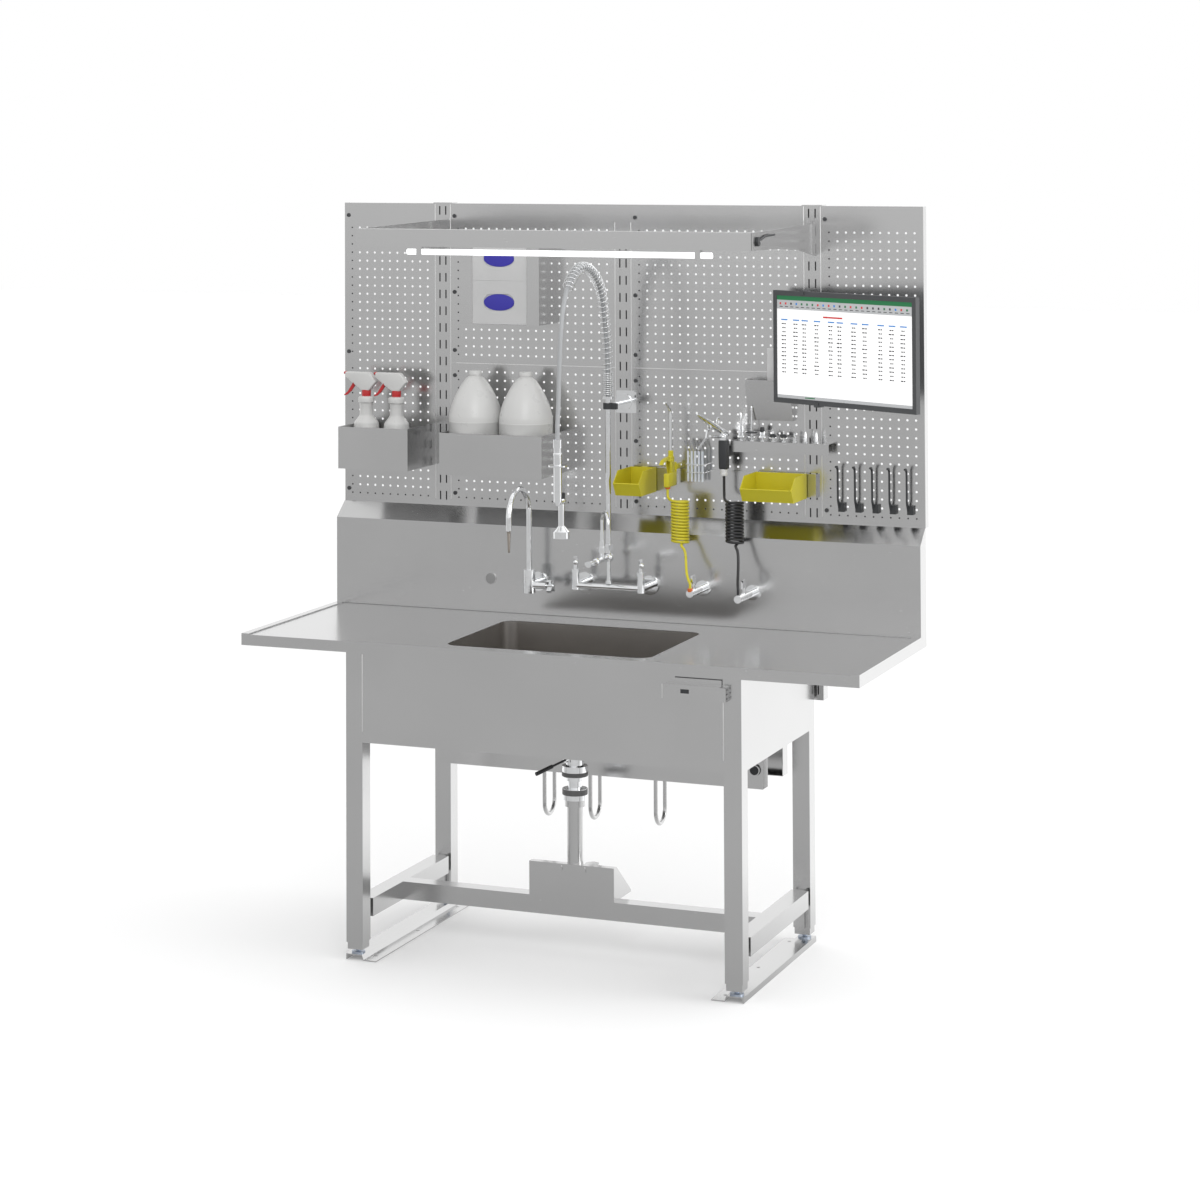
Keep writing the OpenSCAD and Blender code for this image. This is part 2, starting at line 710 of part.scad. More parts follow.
module light_head() {
  side = lamp_w / 2;
  color(white) {
    block(-side, side, lamp_reach - sheet, lamp_reach, lamp_z, lamp_z + housing_h);
    block(-side, side, lamp_reach - housing_d, lamp_reach, lamp_z + housing_h - sheet, lamp_z + housing_h);
    mirrored() block(side - sheet, side, lamp_reach - housing_d, lamp_reach, lamp_z, lamp_z + housing_h);
    mirrored() bar_x(hinge_r, hinge_d, hinge_z, side - sheet, arm_in + arm_skin);
    for (x = [tube_left + clip_w, tube_right - 2 * clip_w]) difference() {
      block(x, x + clip_w, tube_d - tube_clip, tube_d + tube_clip, tube_z - tube_clip,
        lamp_z + housing_h - sheet);
      bar_x(lamp_tube_d / 2, tube_d, tube_z, x - over, x + clip_w + over);
    }
  }
  color(white) bar_x(lamp_tube_d / 2, tube_d, tube_z, tube_left - tube_cap, tube_right + tube_cap);
}
module light_clamp() {
  place = arm_in + arm_skin + gap;
  rod_x = place + clamp_t / 2;
  color(dark) difference() {
    union() {
      bar_x(clamp_r, clamp_d, hinge_z, place, place + clamp_t);
      for (i = [0, 1]) hull() for (p = [clamp_rod_points[i], clamp_rod_points[i + 1]])
        translate([rod_x + (p == clamp_rod_points[2] ? clamp_t : 0), wall_y - p[0], p[1]])
          sphere(r = clamp_rod_r, $fn = small_fn);
    }
    bar_x(clamp_rod_r + pin_gap, clamp_d, hinge_z, place - over, place + clamp_t + over);
  }
}

// Screen: a wall bracket, a swivel head and a tilting screen with a clamp bar
swivel_d = 80;
swivel_z = 1706.9;
swivel_eye = 15;
swivel_pin = 6;
eye_r = 16;
bracket_side = 24;
bracket_rise = 55;
bracket_skin = 4;
bracket_arm = 9;
fork_t = 4;
fork_back = 12;
fork_front = 40;
tilt_y = -12;
tilt_in = 50.6;
tilt_out = 66.4;
tilt_r = 6;
tilt_pin = 3;
tilt_arm_y = -5.7;
tilt_arm_h = 8;
arm_start = 18;
lug = 4.3;
screen_back = -27;
screen_left = -82.7;
bar_t = 6;
bar_half = 8;
bar_top = 31.5;
bar_foot = 85.8;
claw_out = 5;
claw_t = 3;
claw_lip = 9;
bezel = 14;
bezel_lip = 1.5;
module at_screen() {
  translate([outer_upright, wall_y - swivel_d, swivel_z]) rotate([0, 0, -screen_turn]) children();
}
module monitor_bracket() {
  x = outer_upright;
  z = swivel_z;
  color(dark) difference() {
    union() {
      block(x - bracket_side, x + bracket_side, 0, bracket_skin, z - bracket_rise, z + bracket_rise);
      block(x - bracket_arm, x + bracket_arm, 0, swivel_d, z - swivel_eye, z + swivel_eye);
      post(eye_r, x, swivel_d, z - swivel_eye, z + swivel_eye);
    }
    post(swivel_pin + pin_gap, x, swivel_d, z - swivel_eye - over, z + swivel_eye + over);
  }
}
module monitor_head() {
  top = swivel_eye + gap;
  color(dark) at_screen() {
    for (z = [top, -top - fork_t]) translate([-fork_back, -fork_back, z])
      cube([fork_back + fork_front, 2 * fork_back, fork_t]);
    translate([0, 0, -top - over]) cylinder(r = swivel_pin, h = 2 * (top + over), $fn = round_fn);
    translate([arm_start, tilt_arm_y, -top - fork_t])
      cube([fork_front - arm_start, fork_back - tilt_arm_y, 2 * (top + fork_t)]);
    translate([arm_start, tilt_arm_y, -tilt_arm_h])
      cube([tilt_out - arm_start, tilt_arm_h - tilt_arm_y, 2 * tilt_arm_h]);
    translate([tilt_in, tilt_y, -tilt_r]) cube([tilt_out - tilt_in, tilt_arm_y - tilt_y + over, 2 * tilt_r]);
    translate([tilt_in, tilt_y, 0]) rotate([0, 90, 0]) cylinder(r = tilt_r, h = tilt_out - tilt_in, $fn = round_fn);
    translate([tilt_in - lug - gap, tilt_y, 0]) rotate([0, 90, 0])
      cylinder(r = tilt_pin, h = tilt_out - tilt_in + 2 * (lug + gap), $fn = round_fn);
  }
}
module monitor() {
  back = screen_back + bar_t;
  half_h = screen_h / 2;
  color(dark) at_screen() {
    difference() {
      translate([screen_left, screen_back - screen_t, -half_h]) cube([screen_w, screen_t, screen_h]);
      translate([screen_left + bezel, screen_back - screen_t - over, bezel - half_h])
        cube([screen_w - 2 * bezel, bezel_lip + over, screen_h - 2 * bezel]);
    }
    translate([0, back, 0]) rotate([90, 0, 0]) linear_extrude(height = bar_t)
      polygon([[bar_top - bar_half, half_h + claw_out], [bar_top + bar_half, half_h + claw_out],
        [bar_foot + bar_half, -half_h - claw_out], [bar_foot - bar_half, -half_h - claw_out]]);
    for (c = [[bar_top, half_h, 0], [bar_foot, -half_h - claw_out, claw_lip]])
      translate([c[0] - bar_half, screen_back - screen_t - claw_t, c[1]]) {
        cube([2 * bar_half, back - screen_back + screen_t + claw_t, claw_out]);
        translate([0, 0, c[2] > 0 ? 0 : -claw_lip]) cube([2 * bar_half, claw_t, claw_out + claw_lip]);
      }
    for (x = [tilt_in - lug - gap, tilt_out + gap]) difference() {
      union() {
        translate([x, screen_back, -tilt_r]) cube([lug, tilt_y - screen_back, 2 * tilt_r]);
        translate([x, tilt_y, 0]) rotate([0, 90, 0]) cylinder(r = tilt_r, h = lug, $fn = round_fn);
      }
      translate([x - over, tilt_y, 0]) rotate([0, 90, 0])
        cylinder(r = tilt_pin + pin_gap, h = lug + 2 * over, $fn = round_fn);
    }
  }
}

// Glove box holder with two boxes stacked in it
glove_left = -484;
glove_foot = 1750;
glove_top = 2011;
glove_lip = 40;
oval_w = 98.6;
oval_h = 49.8;
oval_x = -358;
oval_deep = 3;
oval_places = [1816.9, 1947.4];
module glove_holder() {
  right = glove_left + glove_w;
  color(steel) difference() {
    block(glove_left, right, 0, glove_d, glove_foot, glove_top);
    block(glove_left + sheet, right - sheet, sheet, glove_d - sheet, glove_foot + sheet, glove_top + over);
    block(glove_left + glove_lip, right - glove_lip, glove_d - 2 * sheet, glove_d + over,
      glove_foot + sheet, glove_top + over);
  }
}
module glove_boxes() {
  side = sheet + gap;
  foot = glove_foot + side;
  box_h = (glove_top - foot) / 2;
  color(white) for (i = [0, 1]) difference() {
    block(glove_left + side, glove_left + glove_w - side, side, glove_d - side,
      foot + i * box_h, foot + (i + 1) * box_h - gap);
    translate([oval_x - oval_w / 2, wall_y - glove_d + side + oval_deep, oval_places[i] - oval_h / 2])
      rotate([90, 0, 0]) linear_extrude(height = oval_deep + over) rounded(oval_w, oval_h, oval_h / 2 - over);
  }
}

// Two open baskets, two round jugs and two spray bottles
basket_a = [-838.2, 208, 1316, 1441];
basket_b = [-519.4, 178, 1307, 1431];
basket_slack = 0.6;
jug_cap_r = 19;
jug_top = 1612;
jug_neck = 13;
jug_falls = [47, 75, 102, 130, 148];
jug_shares = [0.571, 0.758, 0.894, 0.981, 1];
jug_shoulder = [for (i = [0 : last(jug_falls)]) [jug_shares[i] * jug_d / 2, jug_top - jug_falls[i]]];
module basket(b, w) {
  difference() {
    block(b[0], b[0] + w, 0, b[1], b[2], b[3]);
    block(b[0] + sheet, b[0] + w - sheet, sheet, b[1] - sheet, b[2] + sheet, b[3] + over);
  }
}
module steel_baskets() {
  color(steel) {
    basket(basket_a, bottle_basket_w);
    basket(basket_b, jug_basket_w);
  }
}
module jugs() {
  inset = sheet + basket_slack + jug_d / 2;
  d = basket_b[1] - inset;
  color(white) for (x = [basket_b[0] + inset, basket_b[0] + jug_basket_w - inset])
    turned(x, d, 0, concat([[0, basket_b[2] + sheet + gap], [jug_d / 2, basket_b[2] + sheet + gap]],
      [for (i = [last(jug_falls) : -1 : 0]) jug_shoulder[i]],
      [[jug_cap_r, jug_top - jug_neck], [jug_cap_r, jug_top], [0, jug_top]]));
}
bottle_d = 102;
bottle_places = [-794.2, -694];
bottle_points = [[0, 1317.8], [42, 1317.8], [42, 1410], [36.8, 1447], [20.5, 1468], [20.5, 1506],
  [24.5, 1507], [24.5, 1524], [12.5, 1526], [12.5, 1544], [0, 1544]];
nozzle_head = [[-66, 1598], [14.7, 1598], [35.6, 1570], [12, 1543], [-12, 1543], [-62, 1580], [-66, 1584]];
head_w = 24;
tip_r = 4;
tip_z = 1594;
tip_out = 74;
pull = [-38, 1564];
pull_r = 1.8;
pull_w = 7;
pull_slack = 0.5;
pull_eye = 4.5;
pull_room = 7;
pull_points = [[-35.5, 1561], [-40.5, 1552.6], [-50.3, 1539.1], [-63.8, 1527.6], [-72.4, 1525.6],
  [-73.6, 1528.1], [-61.3, 1537.9], [-51.5, 1552.6], [-42, 1567]];
module plate_x(x, w, points) {
  translate([x, wall_y - bottle_d + w / 2, 0]) rotate([90, 0, 0]) linear_extrude(height = w) polygon(points);
}
module spray_bottles() {
  room = pull_w / 2 + pull_slack;
  color(white) for (x = bottle_places) {
    difference() {
      union() {
        turned(x, bottle_d, 0, bottle_points);
        plate_x(x, head_w, nozzle_head);
      }
      block(x + pull[0] - pull_room - pull_eye, x + pull[0] + pull_room, bottle_d - room, bottle_d + room,
        pull[1] - 3 * pull_room, pull[1] + pull_room);
      bar_y(pull_r + pin_gap, x + pull[0], pull[1], bottle_d - head_w, bottle_d + head_w);
    }
    bar_x(tip_r, bottle_d, tip_z, x - tip_out, x + nozzle_head[0][0] + over);
  }
}
module bottle_trigger(x) {
  color(red) {
    plate_x(x, pull_w, pull_points);
    translate([x + pull[0], wall_y - bottle_d + pull_w / 2, pull[1]]) rotate([90, 0, 0])
      cylinder(r = pull_eye, h = pull_w, $fn = round_fn);
    translate([x + pull[0], wall_y - bottle_d + head_w / 2, pull[1]]) rotate([90, 0, 0])
      cylinder(r = pull_r, h = head_w, $fn = round_fn);
  }
}
module left_trigger() {
  bottle_trigger(bottle_places[0]);
}
module right_trigger() {
  bottle_trigger(bottle_places[1]);
}

// Wedge-shaped wall pocket with a pack of wipes in it
pocket_left = 393.7;
pocket_right = 528.3;
pocket_points = [[0, 1486], [17.8, 1486], [55.9, 1605], [0, 1605]];
pack_left = 452;
pack_front = 18;
pack_top = 1694;
module wedge_pocket() {
  p = pocket_points;
  color(white) {
    difference() {
      profile(pocket_left, pocket_right, p);
      profile(pocket_left + sheet, pocket_right - sheet, [[sheet, p[0][1] + sheet],
        [p[1][0] - sheet, p[1][1] + sheet], [p[2][0] - sheet, p[2][1] + over], [sheet, p[3][1] + over]]);
    }
    block(pack_left, pocket_right - sheet - gap, sheet + gap, pack_front, p[0][1] + pack_front, pack_top);
  }
}

// Rails for the bins and for the spare nozzles
bin_rail = [104.1, 596.9, 1267, 1335];
bin_rail_d = 8;
rail_end = 20;
rack = [348, 642.6, 1394, 1426];
rack_d = 43.2;
nozzle_x = 376.2;
nozzle_step = 32.5;
nozzle_d = 35.5;
nozzle_count = 8;
stem_r = 5;
stem_slack = 0.3;
stem_h = 24;
module accessory_rails() {
  color(steel) {
    block(bin_rail[0], bin_rail[1], 0, bin_rail_d, bin_rail[2], bin_rail[3]);
    block(bin_rail[1] - sheet, bin_rail[1], 0, rail_end, bin_rail[2], bin_rail[3]);
    difference() {
      block(rack[0], rack[1], 0, rack_d, rack[2], rack[3]);
      block(rack[0] - over, rack[1] + over, sheet, rack_d - sheet, rack[2] - over, rack[3] - sheet);
      for (i = [0 : nozzle_count - 1]) post(stem_r + stem_slack, nozzle_x + i * nozzle_step, nozzle_d,
        rack[3] - 2 * sheet, rack[3] + over);
    }
  }
}

// Nozzles: outlines of [radius, height above the rack] for each kind, and side balls
ball_r = 4.5;
ball_out = 8;
ball_z = 12;
seat_r = 7;
seat_h = 4;
nozzle_kinds = [
  [[0, 4], [2.5, 4], [2.5, 48], [3.6, 51], [3.6, 82], [0, 82]],
  [[0, 4], [2.2, 4], [2.2, 24], [17.5, 24], [17.5, 27], [2.2, 28], [2.2, 88], [3.2, 90], [3.2, 102], [0, 102]],
  [[0, 4], [3, 4], [3, 28], [6.2, 28], [6.2, 41], [0, 42]],
  [[0, 4], [2.5, 4], [2.5, 15], [10.5, 15], [9, 20], [5, 23], [2, 24], [1.5, 34], [0, 34]],
  [[0, 4], [2.5, 4], [2.5, 15], [10.5, 15], [9, 20], [5, 23], [2, 24], [1.5, 34], [0, 34]],
  [[0, 4], [5.5, 4], [5.5, 14], [3, 17], [4.2, 19], [4.2, 28], [0, 28]],
  [[0, 4], [6, 4], [5.5, 14], [2.5, 36], [0, 36]],
  [[0, 4], [6, 4], [5.5, 14], [2.5, 36], [0, 36]]];
side_tubes = [44, 0, 30, 0, 0, 0, 0, 0];
side_r = 2.6;
module nozzles() {
  color(chrome) for (i = [0 : nozzle_count - 1]) {
    x = nozzle_x + i * nozzle_step;
    z = rack[3];
    post(stem_r, x, nozzle_d, z - stem_h, z + over);
    post(seat_r, x, nozzle_d, z, z + seat_h);
    turned(x, nozzle_d, z, nozzle_kinds[i]);
    if (i < nozzle_count - 3) {
      bar_x(side_r, nozzle_d, z + ball_z, x - ball_out, x + ball_out);
      for (side = [-1, 1]) {
        translate([x + side * ball_out, wall_y - nozzle_d, z + ball_z]) sphere(r = ball_r, $fn = small_fn);
        if (side_tubes[i] > 0) post(side_r, x + side * (ball_out - side_r), nozzle_d,
          z + ball_z, z + side_tubes[i]);
      }
    }
  }
}

// Yellow bins with a scooped front
bin_points = [[12.7, 1265], [142, 1265], [165.1, 1302], [125, 1336], [12.7, 1336]];
bin_skin = 2;
bin_places = [[26.4, 106.4, 0], [413.5, 567.2, 8]];
bin_hook = 20;
module bins() {
  p = bin_points;
  s = bin_skin;
  color(yellow) for (b = bin_places) {
    difference() {
      profile(b[0], b[1], p);
      profile(b[0] + s, b[1] - s, [[p[0][0] + s, p[0][1] + s], [p[1][0] - s, p[1][1] + s],
        [p[2][0] - s, p[2][1] + s], [p[2][0] - s, p[3][1] + over], [p[0][0] + s, p[3][1] + over]]);
    }
    block((b[0] + b[1] - bin_hook) / 2, (b[0] + b[1] + bin_hook) / 2, b[2], p[0][0] + over,
      p[3][1] - bin_hook, p[3][1]);
  }
}

// Rack of five tube brushes held by two bent wires
brush_d = 38;
brush_places = [214.4, 225.5, 236.6, 247.7, 258.8];
brush_foot = 1302;
brush_top = 1391;
brush_r = 3.6;
brush_head = 34;
brush_lean = -26;
bristle_r = 4.6;
wire_r = 1.4;
wire_places = [1329, 1352];
wire_left = 206;
wire_right = 268;
module brush_rack() {
  color(steel) {
    for (z = wire_places) {
      bar_x(wire_r, brush_d + brush_r + wire_r, z, wire_left, wire_right);
      for (x = [wire_left + wire_r, wire_right - wire_r])
        bar_y(wire_r, x, z, z < bin_rail[3] ? bin_rail_d : 0, brush_d + brush_r + 2 * wire_r);
    }
  }
  color(white) for (x = brush_places) {
    post(brush_r, x, brush_d, brush_foot, brush_top);
    translate([x, wall_y - brush_d, brush_top - over]) rotate([0, brush_lean, 0])
      cylinder(r1 = brush_r, r2 = bristle_r, h = brush_head, $fn = small_fn);
  }
}

// Black tube hooks on the right side panel
hook_x = 670;
hook_count = 5;
hook_half = 8.8;
hook_foot = 1231;
hook_h = 25;
hook_back = 14;
hook_w = 5;
hook_points = [[8, 1240], [14, 1240], [27, 1266], [28, 1352], [36, 1360], [46, 1360], [46, 1365],
  [33, 1365], [23, 1355], [22, 1268], [8, 1252]];
module tube_hooks() {
  color(dark) for (i = [0 : hook_count - 1]) {
    x = hook_x + i * slot_pitch;
    block(x - hook_half, x + hook_half, 0, hook_back, hook_foot, hook_foot + hook_h);
    profile(x - hook_half, x - hook_half + hook_w, hook_points);
  }
}

// Mixing tap: two valve posts and a bar, with a lever on each post
tap_d = 137;
tap_foot = 985;
tap_z = 997;
bar_r = 9;
tap_post_r = 11;
tap_collar_r = 13;
tap_collar_h = 8;
tap_top = 1044;
tap_stud_r = 4;
tap_stud_h = 14;
rosette_r = 28;
rosette_t = 6;
pipe_r = 6.35;
pipe_collar = 10;
lever_turn_up = 21.7;
lever_hub_r = 7;
lever_bar_z = 1074;
lever_bar_len = 70;
module turned_about(x, d, angle) {
  translate([x, wall_y - d, 0]) rotate([0, 0, angle]) translate([-x, d - wall_y, 0]) children();
}
module mixing_faucet() {
  color(chrome) {
    mirrored() {
      x = valve_gap / 2;
      bar_y(rosette_r, x, tap_z, splash_d, splash_d + rosette_t);
      bar_y(tap_post_r - over, x, tap_z, splash_d, tap_d);
      post(tap_post_r, x, tap_d, tap_foot, tap_top);
      post(tap_collar_r, x, tap_d, tap_top - tap_collar_h, tap_top);
      post(tap_stud_r, x, tap_d, tap_top - over, tap_top + tap_stud_h);
    }
    bar_x(bar_r, tap_d, tap_z, -valve_gap / 2, valve_gap / 2);
  }
}
module tap_lever(x) {
  foot = tap_top + gap;
  color(chrome) turned_about(x, tap_d, lever_turn_up) difference() {
    union() {
      post(lever_hub_r, x, tap_d, foot, lever_bar_z + lever_hub_r);
      translate([x, wall_y - tap_d, lever_bar_z]) rotate([90, 0, 0])
        cylinder(r1 = lever_hub_r, r2 = lever_hub_r + over, h = lever_bar_len, $fn = round_fn);
      translate([x, wall_y - tap_d - lever_bar_len, lever_bar_z]) sphere(r = lever_hub_r + over, $fn = round_fn);
    }
    post(tap_stud_r + pin_gap, x, tap_d, foot - over, tap_top + tap_stud_h + gap);
  }
}
module hot_handle() {
  tap_lever(-valve_gap / 2);
}
module cold_handle() {
  tap_lever(valve_gap / 2);
}

// Riser pipe with its wall bracket and the valve body of the added spout
riser_x = 2;
riser_top = 1552;
cup_r = 17.5;
cup_h = 8;
clip_r = 14;
clip_foot = 1515;
clip_top = 1532;
plate_left = -22;
plate_right = 41;
plate_foot = 1492;
plate_top = 1558;
wall_disc_r = 25;
wall_disc_t = 6;
wall_rod_r = 6;
cross_z = 1084;
cross_r = 7;
cross_front = 288;
cross_ball_r = 14;
nut_r = 13;
nut_foot = 1104;
nut_top = 1121;
spout_d = 190;
spout_neck_r = 8;
spout_neck_top = 1138;
spout_pin_r = 4.5;
spout_pin_len = 20;
valve_ball_d = 241;
valve_ball_r = 12;
knob_pin_r = 3;
knob_pin_len = 18;
knob_r = 9;
knob_t = 14;
knob_wing = 15;
knob_wing_h = 4;
module ball(r, x, d, z) {
  translate([x, wall_y - d, z]) sphere(r = r, $fn = round_fn);
}
module riser() {
  x = riser_x;
  foot = tap_z + bar_r + gap;
  color(chrome) difference() {
    union() {
      post(pipe_r, x, tap_d, foot, cross_z);
      post(pipe_collar, x, tap_d, foot, tap_z + 2 * bar_r);
      ball(cross_ball_r, x, tap_d, cross_z);
      bar_y(cross_r, x, cross_z, tap_d, cross_front);
      ball(valve_ball_r, x, valve_ball_d, cross_z);
      for (d = [tap_d, spout_d]) {
        post(spout_neck_r, x, d, cross_z, nut_foot);
        translate([x, wall_y - d, nut_foot]) cylinder(r = nut_r, h = nut_top - nut_foot, $fn = 6);
      }
      post(spout_neck_r, x, spout_d, nut_top - over, spout_neck_top);
      post(riser_d / 2, x, tap_d, nut_top - over, riser_top);
      post(cup_r, x, tap_d, riser_top - cup_h, riser_top);
      bar_y(wall_rod_r, x, (clip_foot + clip_top) / 2, 0, tap_d);
      bar_y(wall_disc_r, x, (clip_foot + clip_top) / 2, sheet, wall_disc_t);
      block(plate_left, plate_right, 0, 2 * sheet, plate_foot, plate_top);
    }
    post(spout_pin_r + pin_gap, x, spout_d, spout_neck_top - spout_pin_len, spout_neck_top + over);
    bar_y(knob_pin_r + pin_gap, x, cross_z, cross_front - knob_pin_len - over, cross_front + over);
  }
  color(dark) difference() {
    union() {
      post(clip_r, x, tap_d, clip_foot, clip_top);
      block(x - clip_r, x + 2 * clip_r, tap_d - clip_r / 2, tap_d + clip_r / 2, clip_foot, clip_top);
    }
    post(riser_d / 2 - over, x, tap_d, clip_foot - over, clip_top + over);
    bar_y(wall_rod_r - over, x, (clip_foot + clip_top) / 2, 0, tap_d);
  }
}
spout_tube_r = 5;
spout_sleeve_r = 6.5;
spout_sleeve_top = 1165;
spout_bend = 32;
spout_bend_z = 1192;
spout_drop = 12;
spout_turn = 36.87;
module addon_spout() {
  x = riser_x;
  color(chrome) turned_about(x, spout_d, spout_turn) {
    post(spout_pin_r, x, spout_d, spout_neck_top - spout_pin_len + gap, spout_neck_top + over);
    post(spout_sleeve_r, x, spout_d, spout_neck_top + gap, spout_sleeve_top);
    post(spout_tube_r, x, spout_d, spout_sleeve_top - over, spout_bend_z);
    arch(spout_tube_r, spout_bend, x, spout_d + spout_bend, spout_bend_z, 0, 180);
    post(spout_tube_r, x, spout_d + 2 * spout_bend, spout_bend_z - spout_drop, spout_bend_z);
  }
}
module addon_handle() {
  x = riser_x;
  start = cross_front + gap;
  color(chrome) {
    bar_y(knob_pin_r, x, cross_z, cross_front - knob_pin_len + gap, start + over);
    bar_y(knob_r, x, cross_z, start, start + knob_t);
    block(x - knob_wing, x + knob_wing, start, start + knob_wing_h, cross_z - knob_wing_h, cross_z + knob_wing_h);
  }
}

// Rinse spring and hose: a wound wire around a route, and a hose along it
spring_route = [[137, 1552], [137, 1570], [137, 1590], [137, 1620], [143, 1690], [153, 1741],
  [165, 1790], [180, 1838], [205, 1878], [238, 1905], [281, 1927], [332, 1937], [380, 1931],
  [426, 1908], [460, 1880]];
hose_route = [[482, 1845], [500, 1800], [513, 1740], [522, 1660], [530, 1560], [538, 1500],
  [538, 1483], [538, 1466]];
route_steps = 4;
hose_steps = 3;
tight_pitch = 5.6;
tight_len = 68;
open_pitch = 15.8;
end_share = 1.2;
spring_sit = 2.2;
spring_r = (spring_d - spring_wire) / 2;
flat = [for (p = smooth(spring_route, route_steps)) [p[0], p[1]]];
function along(p, i = 0, s = 0, out = []) = i > last(p) ? out :
  let (t = i == 0 ? 0 : s + norm(p[i] - p[i - 1])) along(p, i + 1, t, concat(out, [t]));
flat_len = along(flat);
depth_at = [for (i = [0 : last(flat)]) [flat_len[i], flat[i][0]]];
height_at = [for (i = [0 : last(flat)]) [flat_len[i], flat[i][1]]];
route_len = flat_len[last(flat)];
function place_at(s) = [riser_x, wall_y - lookup(s, depth_at), lookup(s, height_at)];
tight_turns = tight_len / tight_pitch;
open_turns = (route_len - tight_len - spring_sit) / open_pitch;
function wound_to(q) = spring_sit + (q < tight_turns ? q * tight_pitch
  : tight_len + (q - tight_turns) * open_pitch);
function spring_point(q) = let (s = wound_to(q), a = min(s, route_len - over),
  t = unit(place_at(a + over) - place_at(a)), b = cross(t, [1, 0, 0]))
  place_at(s) + spring_r * (cos(q * 360) * [1, 0, 0] + sin(q * 360) * b);
spring_coil = [for (i = [0 : floor((tight_turns + open_turns) * curl_rings)]) spring_point(i / curl_rings)];
function lead(a, b, r) = [a + end_share * 4 * r * unit(a - b), a + end_share * 2 * r * unit(a - b)];
function ended(p, r) = concat(lead(p[0], p[1], r), p, let (n = last(p), e = lead(p[n], p[n - 1], r)) [e[1], e[0]]);
spring_path = ended(spring_coil, spring_wire / 2);
module rinse_spring() {
  color(chrome) sweep(spring_path, spring_wire / 2, curl_sides, [0, 0, 1]);
}
rinse_path = [for (p = smooth(concat(spring_route, hose_route), hose_steps)) [riser_x, wall_y - p[0], p[1]]];
module rinse_hose() {
  color(dark) sweep(rinse_path, rinse_hose_d / 2, 8, [1, 0, 0]);
}

// Spray valve at the hose's end, with its hook ring and squeeze lever
grip_d = 538;
grip_points = [[0, 1281], [8, 1282], [11.5, 1290], [11.5, 1417], [13.3, 1424], [11, 1428], [11, 1441],
  [13, 1441], [13, 1464], [8.5, 1466], [0, 1466]];
stem_d = 511;
spray_stem_r = 8.4;
spray_bar_r = 9.5;
spray_bar_back = 503;
spray_z = 1288;
bell_top = 1221;
bell_brim = 1205;
bell_foot = 1186;
bell_r = 23.5;
ring_z = 1389;
ring_r = 27;
ring_t = 4;
lever_lug = 8;
lever_pivot_d = 497;
lever_pin = 2;
lever_slot = 4.3;
squeeze_points = [[501, 1284], [493, 1284], [490, 1310], [495, 1312], [501, 1296]];
module spray_valve() {
  x = riser_x;
  color(chrome) difference() {
    union() {
      turned(x, grip_d, 0, grip_points);
      bar_y(spray_bar_r, x, spray_z, spray_bar_back, grip_d);
      post(spray_stem_r, x, stem_d, bell_top - over, spray_z);
      cone(bell_r, spray_stem_r, x, stem_d, bell_brim, bell_top);
      post(bell_r, x, stem_d, bell_foot, bell_brim);
      block(x - lever_lug, x + lever_lug, lever_pivot_d - lever_lug / 2, stem_d, spray_z - lever_lug,
        spray_z + lever_lug);
      post(ring_r, x, grip_d, ring_z, ring_z + ring_t);
    }
    block(x - lever_slot, x + lever_slot, lever_pivot_d - 2 * lever_lug, lever_pivot_d + lever_lug,
      spray_z - lever_lug - over, spray_z + 2 * lever_lug);
    bar_x(lever_pin + pin_gap, lever_pivot_d, spray_z, x - 2 * lever_lug, x + 2 * lever_lug);
  }
}
module squeeze_lever() {
  x = riser_x;
  color(dark) {
    profile(x - lever_slot + gap, x + lever_slot - gap, squeeze_points);
    bar_x(lever_pin, lever_pivot_d, spray_z, x - lever_lug, x + lever_lug);
  }
}

// Laboratory tap: a gooseneck with a serrated nozzle and a four-bladed handle
lab_x = -250;
lab_d = 133;
lab_z = 990;
lab_foot = 966;
lab_top = 1034;
lab_body_r = 18;
lab_pipe_r = 10;
lab_valve_r = 11;
lab_valve_end = -196;
lab_stem_r = 4;
lab_stem_end = -170;
lab_pin_r = 6;
lab_pin_len = 16;
lab_bend = 78;
lab_crest = 1287;
lab_leg = 1167;
lab_tip = 1104;
lab_tip_r = 2.8;
lab_ridge_r = 5.6;
lab_ridges = 7;
lab_valley_share = 0.8;
blade_start = -190;
blade_end = -174;
blade_hub_r = 8;
blade_r = 22;
blade_t = 7;
module lab_faucet() {
  color(chrome) difference() {
    union() {
      bar_y(rosette_r, lab_x, lab_z, splash_d, splash_d + rosette_t);
      bar_y(lab_pipe_r, lab_x, lab_z, splash_d, lab_d);
      post(lab_body_r, lab_x, lab_d, lab_foot, lab_top);
      bar_x(lab_valve_r, lab_d, lab_z, lab_x, lab_valve_end);
      bar_x(lab_stem_r, lab_d, lab_z, lab_valve_end - over, lab_stem_end);
    }
    post(lab_pin_r + pin_gap, lab_x, lab_d, lab_top - lab_pin_len - gap, lab_top + over);
  }
}
